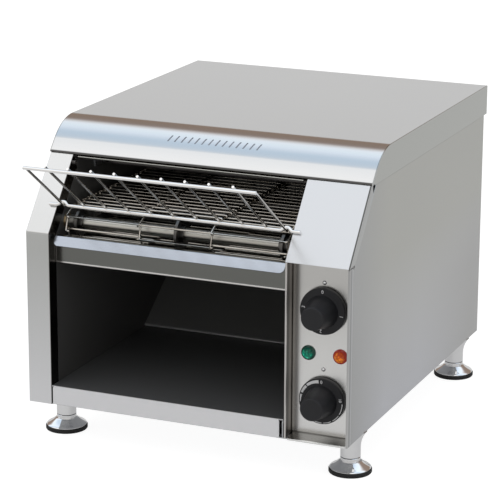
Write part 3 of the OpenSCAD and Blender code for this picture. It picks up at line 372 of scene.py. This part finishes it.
# a CAD node's own shape, merged, with its folds rounded and its cut edges broken
def softened(node, body="cabinet", fold=1.1, edge=0.22, steps=3, sharpAngle=32, finish=None, moved=()):
    bm = bmesh.new()
    bm.from_mesh(nodes[node].data)
    bmesh.ops.remove_doubles(bm, verts=bm.verts, dist=2e-6)
    for start, end in moved:       # a sheet's edge, carried sideways from one X to another
        for vert in bm.verts:
            if abs(vert.co.x - start) < 0.05 * mm:
                vert.co.x = end
    bmesh.ops.dissolve_limit(bm, angle_limit=math.radians(0.8), verts=bm.verts, edges=bm.edges)
    if fold:
        folds = [e for e in bm.edges if bendable(e, 2.2 * mm)]
        bmesh.ops.bevel(bm, geom=folds, offset=fold * mm, offset_type="OFFSET", segments=steps, profile=0.5,
                        affect="EDGES", clamp_overlap=True, material=-1)
    if edge:
        cuts = [e for e in bm.edges if len(e.link_faces) == 2 and e.calc_face_angle(0) > math.radians(50)]
        bmesh.ops.bevel(bm, geom=cuts, offset=edge * mm, offset_type="OFFSET", segments=1, profile=0.5,
                        affect="EDGES", clamp_overlap=True, material=-1)
    piece = placePiece(bm, node + "_skin", body, slotOf[node], (node,), sharpAngle,
                       recalc=False, finish=finish)
    flats = piece.modifiers.new("flats", "WEIGHTED_NORMAL")
    flats.keep_sharp = True
    return piece


def rounded(path, bend, steps=4):     # a path of points with its corners turned into short arcs
    points = [path[0]]
    for before, corner, after in zip(path, path[1:], path[2:]):
        reach = min(bend, (corner - before).length * 0.49, (after - corner).length * 0.49)
        start = corner + (before - corner).normalized() * reach
        end = corner + (after - corner).normalized() * reach
        for i in range(steps + 1):
            t = i / steps
            points.append(start * (1 - t) ** 2 + corner * 2 * t * (1 - t) + end * t * t)
    return points + [path[-1]]


def wireMesh(name, paths, radius, sides=8):     # round wire along each path
    curve = bpy.data.curves.new(name, "CURVE")
    curve.dimensions = "3D"
    curve.bevel_depth = radius
    curve.bevel_resolution = (sides - 4) // 2
    curve.use_fill_caps = True
    for path in paths:
        spline = curve.splines.new("POLY")
        spline.points.add(len(path) - 1)
        for point, place in zip(spline.points, path):
            point.co = (*place, 1)
    holder = bpy.data.objects.new(name, curve)
    scene.collection.objects.link(holder)
    bpy.context.view_layer.update()
    mesh = bpy.data.meshes.new_from_object(holder.evaluated_get(bpy.context.evaluated_depsgraph_get()))
    bpy.data.objects.remove(holder)
    bpy.data.curves.remove(curve)
    return mesh


def placeWires(name, wires, body, slot, stands=(), sharpAngle=60):      # wires: (paths, radius, sides)
    bm = bmesh.new()
    for paths, radius, sides in wires:
        mesh = wireMesh(name, paths, radius, sides)
        bm.from_mesh(mesh)
        bpy.data.meshes.remove(mesh)
    return placePiece(bm, name, body, slot, stands, sharpAngle)


# profile: (radius, along) in metres, closed on the axis
def spinProfile(bm, profile, center, axis, steps=96):
    side = axis.orthogonal().normalized()
    verts = [bm.verts.new(center + side * r + axis * h) for r, h in profile]
    edges = [bm.edges.new(pair) for pair in zip(verts, verts[1:])]
    bmesh.ops.spin(bm, geom=verts + edges, cent=center, axis=axis, angle=math.tau,
                   steps=steps, use_merge=True)
    bmesh.ops.remove_doubles(bm, verts=bm.verts, dist=1e-6)


# cabinet sheets

sheetLook = {"front": 2.0, "slope": 1.3, "fold": 1.2, "inner": 0.8, "tray": 1.0, "edge": 0.25}
flange = {"post": 3.4, "divider": 3.3, "narrower": 1.4}      # both narrow flanges are drawn in a little
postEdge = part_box("slope_cover")[1].x - flange["post"] * mm
dividerEdge = openRight + flange["divider"] * mm
moved = {"slope_cover": [(postEdge, postEdge + flange["narrower"] * mm)],
         "divider_wall": [(dividerEdge, dividerEdge - flange["narrower"] * mm)]}
softened("left_column", fold=sheetLook["front"], edge=sheetLook["edge"], steps=4, finish="column_steel")
softened("slope_cover", fold=sheetLook["slope"], edge=sheetLook["edge"], steps=4, finish="slope_steel",
         moved=moved["slope_cover"])
for node in ("top_cover", "control_panel", "divider_wall"):
    softened(node, fold=sheetLook["fold"], edge=sheetLook["edge"], moved=moved.get(node, ()))
for node in ("side_panel_left", "side_panel_right", "upper_reflector", "tray_guides", "base_pan",
             "rear_panel"):
    softened(node, fold=sheetLook["inner"], edge=sheetLook["edge"], steps=2)
softened("lower_reflector", fold=sheetLook["inner"], edge=sheetLook["edge"], finish="fascia_steel")
softened("return_chute", fold=sheetLook["inner"], edge=sheetLook["edge"], finish="chute_steel")
softened("collection_tray", "tray", fold=sheetLook["tray"], edge=sheetLook["edge"])
print("cabinet sheets softened")

# belt

belt = {"pitch": 12.7, "links": 22, "teeth": 8, "axisY": 43.0, "axisZ": 240.5, "width": 256.0, "lane": 41.0,
        "wire": 2.2, "hook": 2.1, "reach": 15.4, "phase": 30.0, "bend": 1.9, "lift": 2.65, "loop": 3.2,
        "drop": 2.4, "hookLean": 0.3, "hookBend": 1.0}
wheelR = belt["teeth"] * belt["pitch"] / math.tau
beltSpan = belt["links"] * belt["pitch"]
beltLoop = 2 * beltSpan + math.tau * wheelR


def beltAt(s):       # Y and Z of a point on the belt's closed loop
    arc = math.pi * wheelR
    u = s % beltLoop
    if u < beltSpan:
        return Vector((belt["axisY"] + u, belt["axisZ"] + wheelR))
    if u < beltSpan + arc:
        a = math.pi / 2 - (u - beltSpan) / wheelR
        return Vector((belt["axisY"] + beltSpan + wheelR * math.cos(a), belt["axisZ"] + wheelR * math.sin(a)))
    if u < 2 * beltSpan + arc:
        return Vector((belt["axisY"] + 2 * beltSpan + arc - u, belt["axisZ"] - wheelR))
    a = 1.5 * math.pi - (u - 2 * beltSpan - arc) / wheelR
    return Vector((belt["axisY"] + wheelR * math.cos(a), belt["axisZ"] + wheelR * math.sin(a)))


def strandPaths(index):
    s = belt["pitch"] * index - wheelR * math.radians(90 - belt["phase"])
    here, last = beltAt(s), beltAt(s - belt["pitch"])
    lean = math.atan2(here.y - last.y, here.x - last.x) - math.asin(belt["lift"] / belt["pitch"])
    turn = Matrix.Rotation(lean, 3, "X")
    middle = midX / mm

    def put(x, v, n):
        place = turn @ Vector((0, v, n))
        return at(middle + x, here.x + place.y, here.y + place.z)

    half, reach, lane = belt["width"] / 2 - belt["wire"] / 2, belt["reach"], belt["lane"]
    inner, drop = half - belt["loop"], belt["drop"]      # each end turns back and down as an edge loop
    line = [(-inner, -reach, -drop), (-inner, -reach, 0), (-half, -reach, 0), (-half, 0, 0)]
    line += [(-lane, 0, 0), (-lane, -reach, 0), (lane, -reach, 0), (lane, 0, 0)]      # a step back
    line += [(half, 0, 0), (half, -reach, 0), (inner, -reach, 0), (inner, -reach, -drop)]
    paths = [rounded([put(*p) for p in line], belt["bend"] * mm, 3)]
    for side in (-1, 1):
        c = side * lane
        k = side * (lane + belt["hook"])
        hook = [put(c, -reach, 0), put(k, -reach, 0), put(k, -reach + belt["hookLean"], -drop)]
        paths.append(rounded(hook, belt["hookBend"] * mm, 3))
    return paths


strands = [path for i in range(2 * belt["links"] + belt["teeth"]) for path in strandPaths(i)]
placeWires("belt_wires", [(strands, belt["wire"] / 2 * mm, 6)], "cabinet", "belt_steel",
           ("conveyor_belt", "belt_drive_wrap"))
for node, body in (("front_wheels", "front_roller"), ("front_shaft", "front_roller"),
                   ("drive_shaft", "drive_roller"), ("drive_sprockets", "drive_roller"),
                   ("driven_chain_wheel", "drive_roller"), ("motor_chain_wheel", "motor_output"),
                   ("shaft_bushings", "cabinet")):
    softened(node, body, fold=0.4, edge=0, steps=2)
print("belt made:", len(strands), "wires")

# feed rack

rack = {"railY": 19.36, "railZ": 263.2, "tilt": 35.5, "length": 101.0, "halfWidth": 130.0, "wire": 3.8,
        "cross": 2.9, "count": 9, "lift": 4.0, "side": 127.2, "past": 1.5, "bend": 2.2, "sunk": 0.3,
        "crossEnds": (-2.0, 2.1), "sideEnds": (-3.0, -0.6), "sideUp": 0.9,
        "hump": ((-8.0, 0), (-4.5, 1), (-0.2, 1), (3.2, 0), (13.0, 0))}      # X past the half width, lifted


def rackSpot(x, along, up):     # along the slope from the lower rail, and up from the rack's plane
    a = math.radians(rack["tilt"])
    return at(midX / mm + x, rack["railY"] - along * math.cos(a) + up * math.sin(a),
              rack["railZ"] + along * math.sin(a) + up * math.cos(a))


def buildRack():
    h, length, lift = rack["halfWidth"], rack["length"], rack["lift"]
    side, sideUp = rack["side"], rack["sideUp"]
    top = [rackSpot(x, length, 0) for x in (-side - rack["past"], side + rack["past"])]
    half = [(h + x, up * lift) for x, up in rack["hump"]]
    low = [(-x, up) for x, up in reversed(half)] + half
    rail = rounded([rackSpot(x, 0, up) for x, up in low], rack["bend"] * mm, 4)
    above = (rack["wire"] + rack["cross"]) / 2 - rack["sunk"]
    (crossLow, crossHigh), (sideLow, sideHigh) = rack["crossEnds"], rack["sideEnds"]
    spacing = 2 * h / (rack["count"] + 1)
    places = [-h + spacing * (i + 1) for i in range(rack["count"])]
    crossWires = [[rackSpot(x, crossLow, above), rackSpot(x, length + crossHigh, above)] for x in places]
    crossWires += [[rackSpot(x, sideLow, sideUp), rackSpot(x, length + sideHigh, sideUp)]
                   for x in (-side, side)]
    wires = [([top, rail], rack["wire"] / 2 * mm, 14), (crossWires, rack["cross"] / 2 * mm, 10)]
    placeWires("feed_rack_wires", wires, "rack", "rack_chrome", ("feed_rack",))


buildRack()
print("feed rack made")

# controls

knob = {"x": 149.325, "upper": 184.7, "lower": 88.4, "skirt": 24.7, "face": 5.6, "grip": 17.2, "tip": 12.3,
        "length": 34.7, "gap": 0.3, "round": 1.6}
towardsFront = Vector((0, -1, 0))


def buildKnob(name, body, z, node):
    r, g, face, tall, f = (knob[key] for key in ("skirt", "grip", "face", "length", "round"))
    profile = [(0, 3), (12, 3), (r - 3.3, 3), (r - 3, 0), (r - 1, 0), (r - 0.3, 0.3), (r, 1), (r, face - 0.9),
               (r - 0.15, face - 0.4), (r - 0.5, face - 0.08), (r - 1, face), (g + 0.9, face),
               (g + 0.3, face + 0.15), (g, face + 0.5)]
    center = (knob["tip"] - f, tall - f)
    first = math.degrees(math.atan2(g - knob["tip"], tall - face))
    for i in range(7):
        a = math.radians(first + (90 - first) * i / 6)
        profile.append((center[0] + f * math.cos(a), center[1] + f * math.sin(a)))
    profile.append((0, tall))
    bm = bmesh.new()
    spinProfile(bm, [(a * mm, b * mm) for a, b in profile], at(knob["x"], panelFace - knob["gap"], z),
                towardsFront)
    placePiece(bm, name, body, "knob_black", (node,), 30)


def dialSpot(z, angle, radius, up=0.0):     # a place on the skirt's face, angle clockwise from the top
    a = math.radians(angle)
    return at(knob["x"] + radius * math.sin(a), panelFace - knob["gap"] - knob["face"] - up,
              z + radius * math.cos(a))


def digitMesh(text, size):
    curve = bpy.data.curves.new("digit", "FONT")
    curve.body = text
    curve.size = size
    curve.align_x = "CENTER"
    curve.align_y = "CENTER"
    curve.resolution_u = 3
    curve.extrude = 0.00012
    curve.offset = 0.00006
    holder = bpy.data.objects.new("digit", curve)
    scene.collection.objects.link(holder)
    bpy.context.view_layer.update()
    mesh = bpy.data.meshes.new_from_object(holder.evaluated_get(bpy.context.evaluated_depsgraph_get()))
    bpy.data.objects.remove(holder)
    bpy.data.curves.remove(curve)
    return mesh


def addDigit(bm, text, z, angle, radius, size):
    mesh = digitMesh(text, size * mm)
    stand = Matrix.Rotation(math.radians(90), 4, "X")
    turn = Matrix.Rotation(math.radians(angle), 4, "Y")
    mesh.transform(Matrix.Translation(dialSpot(z, angle, radius, dial["clear"])) @ turn @ stand)
    bm.from_mesh(mesh)
    bpy.data.meshes.remove(mesh)


def addBar(bm, z, start, end, inner, outer):     # a printed bar on the skirt; its radii go from start to end
    def place(across, along, up):
        t = along + 0.5
        low, high = (pair[0] + (pair[1] - pair[0]) * t for pair in (inner, outer))
        return dialSpot(z, start + (end - start) * t, low + (across + 0.5) * (high - low),
                        dial["clear"] + (up + 0.5) * dial["ink"])
    bentBlock(bm, place, max(2, int(abs(end - start) / 3)))


dial = {"digits": 20.7, "size": 5.0, "upper": (("0", 0), ("1", 98), ("2", 184), ("3", 278)),
        "bars": ((-8, -45, (19.4, 20.9), (22.9, 23.5)), (-48.5, -71.5, (20.7, 21.3), (23.5, 23.5)),
                 (-76.5, -97, (21.4, 22.6), (23.5, 23.5))),
        "arcs": ((90, 119), (124, 146), (151, 173), (178, 198)), "clear": 0.02, "ink": 0.1}


def buildMarks():
    bm = bmesh.new()
    for text, angle in dial["upper"]:
        addDigit(bm, text, knob["upper"], angle, dial["digits"], dial["size"])
    placePiece(bm, "selector_digits", "selector", "mark_white", ("selector_marks",), 30)
    bm = bmesh.new()
    addDigit(bm, "0", knob["lower"], 0, dial["digits"], dial["size"])
    addDigit(bm, "10", knob["lower"], 80, dial["digits"] + 0.4, dial["size"] * 0.8)
    for start, end, inner, outer in dial["bars"]:
        addBar(bm, knob["lower"], start, end, inner, outer)
    for start, end in dial["arcs"]:
        addBar(bm, knob["lower"], start, end, (22.8, 22.8), (23.55, 23.55))
    placePiece(bm, "speed_scale", "speed", "mark_white", ("speed_marks",), 30)


buildKnob("selector_knob_turned", "selector", knob["upper"], "selector_knob")
buildKnob("speed_knob_turned", "speed", knob["lower"], "speed_knob")
buildMarks()


def buildLamp(name, x, node, slot):
    r = lamp["r"]
    rim = [(0, 0), (r, 0), (r, 1.0), (r - 0.35, 1.8), (r - 1.0, 2.3), (r - 1.7, 2.4)]
    dome = [(r - 2.0, 2.4), (r - 2.0, 3.0), (r - 3.2, 4.3), (r - 5.4, 5.2), (0, 5.4)]
    center, rows = at(x, panelFace, lamp["z"]), lamp["sides"] * lamp["rows"]
    bm = bmesh.new()
    spinProfile(bm, [(a * mm, b * mm) for a, b in rim + dome], center, towardsFront, rows)
    for vert in bm.verts:       # all but every third row of the dome sinks, which cuts it into facets
        offset = vert.co - center
        if -offset.y / mm > lamp["domeFrom"] and math.hypot(offset.x, offset.z) > 1e-4:
            if round(math.atan2(offset.x, offset.z) / math.tau * rows) % lamp["rows"]:
                vert.co.y += lamp["sink"] * mm
    placePiece(bm, name, "cabinet", slot, (node,), 8)


buildLamp("lamp_green_lens", lamp["x"] - lamp["gap"] / 2, "lamp_green", "lens_green")
buildLamp("lamp_amber_lens", lamp["x"] + lamp["gap"] / 2, "lamp_amber", "lens_amber")
print("controls made")

# lid strokes

strokes = {"count": 14, "from": -52.0, "to": 50.0, "angle": 34.0, "tall": 8.6, "width": 1.5, "slant": 0.32,
           "up": 0.12, "turnY": 113.02, "turnZ": 284.0, "radius": 58.0}      # the turn of the lid's roll


def buildStrokes():
    bm = bmesh.new()
    turnY, turnZ, r = (strokes[key] for key in ("turnY", "turnZ", "radius"))
    for i in range(strokes["count"]):
        x = strokes["from"] + (strokes["to"] - strokes["from"]) * i / (strokes["count"] - 1)

        def place(across, along, up):
            a = math.radians(strokes["angle"]) - along * strokes["tall"] / r
            radius = r + up * 2 * strokes["up"]
            return at(x + across * strokes["width"] + along * strokes["tall"] * strokes["slant"],
                      turnY - radius * math.sin(a), turnZ + radius * math.cos(a))
        bentBlock(bm, place, 5)
    placePiece(bm, "lid_strokes", "cabinet", "lid_steel", (), 40, finish="etched_steel")


buildStrokes()

# legs, feet and their rubber rings

leg = {"x": 167.0, "frontY": 54.0, "backY": 399.5, "r": 10.75, "low": 17.4, "top": 46.0, "flare": 6.5,
       "flareR": 28.2, "footR": 23.0}
upwards = Vector((0, 0, 1))


def legProfile():
    r, flare, flareR, top = leg["r"], leg["flare"], leg["flareR"], leg["top"]
    profile = [(0, leg["low"]), (r - 0.5, leg["low"]), (r, leg["low"] + 0.5)]
    last = math.acos(1 - flare / flareR)
    for i in range(13):       # the long flare that runs out under the floor
        a = last * i / 12
        profile.append((r + flareR * (1 - math.cos(a)), top - 0.05 - flareR * (math.sin(last) - math.sin(a))))
    return profile + [(0, top - 0.05)]


def footProfile():
    r, low = leg["r"], leg["low"]
    profile = [(0, 1), (19, 1), (19, 4.9), (21.6, 4.9), (22.0, 5.2), (22.1, 5.7), (21.7, 6.2), (21.1, 6.7)]
    for i in range(1, 9):       # the cone, a little hollow
        t = i / 9
        profile.append((21.1 + (12.2 - 21.1) * t, 6.7 + 6.0 * t - 0.45 * math.sin(math.pi * t)))
    profile += [(12.2, 12.7), (11.2, 13.1), (10.4, 13.35), (r - 0.6, 13.6), (r - 0.6, 14.6), (r - 0.35, 15.0),
                (r, 15.3), (r, low - 0.6), (r - 0.3, low - 0.3), (4, low - 0.3), (4, low + 19), (0, low + 19)]
    return profile


def ringProfile():
    r = leg["footR"]
    return [(0, 0), (r - 1.6, 0), (r - 0.5, 0.35), (r, 1.1), (r, 1.7), (r - 0.22, 1.9), (r, 2.1), (r, 2.9),
            (r - 0.22, 3.1), (r, 3.3), (r, 4.0), (r - 0.4, 4.7), (r - 1.1, 5.0), (19, 5.0), (19, 1.0),
            (0, 1.0)]


def buildFeet():
    corners = {"fl": ("front_left", -1, leg["frontY"]), "fr": ("front_right", 1, leg["frontY"]),
               "rl": ("rear_left", -1, leg["backY"]), "rr": ("rear_right", 1, leg["backY"])}
    legs = bmesh.new()
    for short, (name, side, y) in corners.items():
        foot = at(side * leg["x"], y, 0)
        spinProfile(legs, [(a * mm, b * mm) for a, b in legProfile()], foot, upwards, 72)
        for what, profile, slot in (("foot_", footProfile(), "foot_chrome"),
                                    ("rings_", ringProfile(), "foot_rubber")):
            bm = bmesh.new()
            spinProfile(bm, [(a * mm, b * mm) for a, b in profile], foot, upwards, 96)
            stands = "foot_" + name if what == "foot_" else "foot_rings_" + short
            placePiece(bm, what + "turned_" + short, "foot_" + short, slot, (stands,), 30)
    placePiece(legs, "legs_turned", "cabinet", slotOf["legs"], ("legs",), 30)


buildFeet()

# pieces behind and inside, each with its edges broken

for node in ("upper_elements", "lower_elements", "element_terminals", "element_brackets", "gear_motor",
             "motor_bracket", "fan_frame", "selector_switch", "speed_control", "lamp_housings",
             "thermal_cutout", "terminal_block", "cable_gland", "panel_screws"):
    softened(node, fold=0.5, edge=0, steps=2)
softened("fan_impeller", "fan", fold=0.4, edge=0, steps=1)
print("legs, feet and inner pieces made")

# floor, light and camera

room = {"floor": 0.90, "pale": 0.90, "mirrored": 0.46, "soft": 0.30, "floorSize": 16.0,
        "worldShown": 1.0, "worldMirrored": 1.3, "worldFill": 0.42, "keyStrength": 1.1, "sideStrength": 0.55}


def buildFloor():
    bm = bmesh.new()
    bmesh.ops.create_grid(bm, x_segments=8, y_segments=8, size=room["floorSize"] / 2)
    mesh = bpy.data.meshes.new("floor")
    bm.to_mesh(mesh)
    bm.free()
    floor = bpy.data.objects.new("floor", mesh)
    scene.collection.objects.link(floor)
    mat, tree, links, shader = newFinish("floor_paint")
    paint = room["floor"]
    speckle = noise(mat, 40, 2)
    color = blendColor(mat, spread(mat, speckle, 0, 1), (paint, paint, paint), (paint * 0.99,) * 3)
    links.new(color, shader.inputs["Base Color"])
    shader.inputs["Roughness"].default_value = 0.7
    shader.inputs["Specular IOR Level"].default_value = 0.1
    path = tree.nodes.new("ShaderNodeLightPath")
    glossy = path.outputs["Is Glossy Ray"]
    seen = mathNode(tree, "MAXIMUM", path.outputs["Is Camera Ray"], path.outputs["Is Transmission Ray"])
    mirrored = mathNode(tree, "MAXIMUM", seen, glossy)
    strength = mathNode(tree, "MULTIPLY_ADD", glossy, room["mirrored"] - room["pale"], room["pale"])
    pale = tree.nodes.new("ShaderNodeEmission")
    links.new(strength, pale.inputs["Strength"])
    soft = tree.nodes.new("ShaderNodeBsdfDiffuse")
    soft.inputs["Color"].default_value = (room["soft"], room["soft"], room["soft"], 1)
    lit = tree.nodes.new("ShaderNodeAddShader")
    links.new(pale.outputs[0], lit.inputs[0])
    links.new(soft.outputs[0], lit.inputs[1])
    choose = tree.nodes.new("ShaderNodeMixShader")
    links.new(mirrored, choose.inputs[0])
    links.new(shader.outputs[0], choose.inputs[1])
    links.new(lit.outputs[0], choose.inputs[2])
    links.new(choose.outputs[0], tree.nodes["Material Output"].inputs["Surface"])
    mesh.materials.append(mat)


def buildWorld():
    world = bpy.data.worlds.new("soft_room")
    scene.world = world
    world.use_nodes = True
    tree = world.node_tree
    tree.nodes.clear()
    coord = tree.nodes.new("ShaderNodeTexCoord")
    split = tree.nodes.new("ShaderNodeSeparateXYZ")
    tree.links.new(coord.outputs["Generated"], split.inputs[0])
    angle = mathNode(tree, "ARCTAN2", split.outputs["Z"], split.outputs["Y"])
    ramp = tree.nodes.new("ShaderNodeValToRGB")
    tree.links.new(mathNode(tree, "DIVIDE", angle, math.pi), ramp.inputs["Fac"])
    # degrees from the back horizon over the top to the front, and the room's colour there
    stops = [
        (0, (0.555, 0.555, 0.555)), (17, (0.555, 0.555, 0.555)), (19.4, (0.31, 0.26, 0.23)),
        (23.5, (0.255, 0.19, 0.15)), (45, (0.27, 0.215, 0.185)), (49, (0.35, 0.30, 0.28)),
        (52, (0.50, 0.46, 0.45)), (56.5, (0.73, 0.74, 0.76)), (62, (0.88, 0.95, 1.04)),
        (70, (0.84, 0.95, 1.04)), (77, (0.80, 0.90, 1.02)), (83, (0.71, 0.81, 0.93)),
        (89, (0.60, 0.72, 0.85)), (95, (0.57, 0.69, 0.82)), (104, (0.60, 0.70, 0.81)),
        (107.5, (0.72, 0.77, 0.83)), (110, (1.05, 1.05, 1.05)), (114.5, (1.05, 1.05, 1.05)),
        (118.5, (0.95, 0.95, 0.95)), (128, (0.95, 0.95, 0.95)), (140, (0.88, 0.88, 0.87)),
        (180, (0.55, 0.53, 0.5))]
    ramp.color_ramp.elements[0].position = stops[0][0] / 180
    ramp.color_ramp.elements[0].color = (*stops[0][1], 1)
    ramp.color_ramp.elements[1].position = 1
    ramp.color_ramp.elements[1].color = (*stops[-1][1], 1)
    for degrees, color in stops[1:-1]:
        element = ramp.color_ramp.elements.new(degrees / 180)
        element.color = (*color, 1)
    path = tree.nodes.new("ShaderNodeLightPath")
    shown = tree.nodes.new("ShaderNodeBackground")
    shown.inputs["Strength"].default_value = room["worldShown"]
    glossy = tree.nodes.new("ShaderNodeBackground")
    glossy.inputs["Strength"].default_value = room["worldMirrored"]
    tree.links.new(ramp.outputs["Color"], glossy.inputs["Color"])
    fill = tree.nodes.new("ShaderNodeBackground")
    fill.inputs["Strength"].default_value = room["worldFill"]
    gloss = tree.nodes.new("ShaderNodeMixShader")
    see = tree.nodes.new("ShaderNodeMixShader")
    tree.links.new(path.outputs["Is Glossy Ray"], gloss.inputs[0])
    tree.links.new(fill.outputs[0], gloss.inputs[1])
    tree.links.new(glossy.outputs[0], gloss.inputs[2])
    seen = mathNode(tree, "MAXIMUM", path.outputs["Is Camera Ray"], path.outputs["Is Transmission Ray"])
    tree.links.new(seen, see.inputs[0])
    tree.links.new(gloss.outputs[0], see.inputs[1])
    tree.links.new(shown.outputs[0], see.inputs[2])
    out = tree.nodes.new("ShaderNodeOutputWorld")
    tree.links.new(see.outputs[0], out.inputs["Surface"])


def addSun(name, direction, strength, spreadAngle):
    light = bpy.data.lights.new(name, "SUN")
    light.energy = strength
    light.angle = math.radians(spreadAngle)
    lightObject = bpy.data.objects.new(name, light)
    lightObject.rotation_euler = Vector(direction).to_track_quat("Z", "Y").to_euler()
    lightObject.visible_glossy = False
    scene.collection.objects.link(lightObject)


view = {"azimuth": 22.3005, "elevation": 15.3838, "roll": 0.46986, "place": (947.253, -2049.540, 867.4215),
        "focal": 2278.12, "middle": (279.367, 240.601), "size": (500, 491), "sensor": 36, "far": 60}


def buildCamera():
    az, el, roll = (math.radians(view[key]) for key in ("azimuth", "elevation", "roll"))
    back = Vector((math.sin(az) * math.cos(el), -math.cos(az) * math.cos(el), math.sin(el)))
    right = Vector((math.cos(az), math.sin(az), 0))
    up = back.cross(right)
    rightTurned = right * math.cos(roll) + up * math.sin(roll)
    upTurned = up * math.cos(roll) - right * math.sin(roll)
    camera = bpy.data.cameras.new("camera")
    holder = bpy.data.objects.new("camera", camera)
    scene.collection.objects.link(holder)
    turn = Matrix((rightTurned, upTurned, back)).transposed().to_4x4()
    holder.matrix_world = Matrix.Translation(at(*view["place"])) @ turn
    width, height = view["size"]
    camera.sensor_width = view["sensor"]
    camera.sensor_fit = "HORIZONTAL"
    camera.lens = view["focal"] * view["sensor"] / width
    camera.shift_x = (width / 2 - view["middle"][0]) / width
    camera.shift_y = (view["middle"][1] - height / 2) / width
    camera.clip_end = view["far"]
    scene.camera = holder


buildFloor()
buildWorld()
addSun("key_sun", (-0.4, -0.55, 1.3), room["keyStrength"], 70)
addSun("side_sun", (0.9, -0.4, 0.8), room["sideStrength"], 80)
buildCamera()
scene.view_settings.view_transform = "Standard"
print("room and camera made")
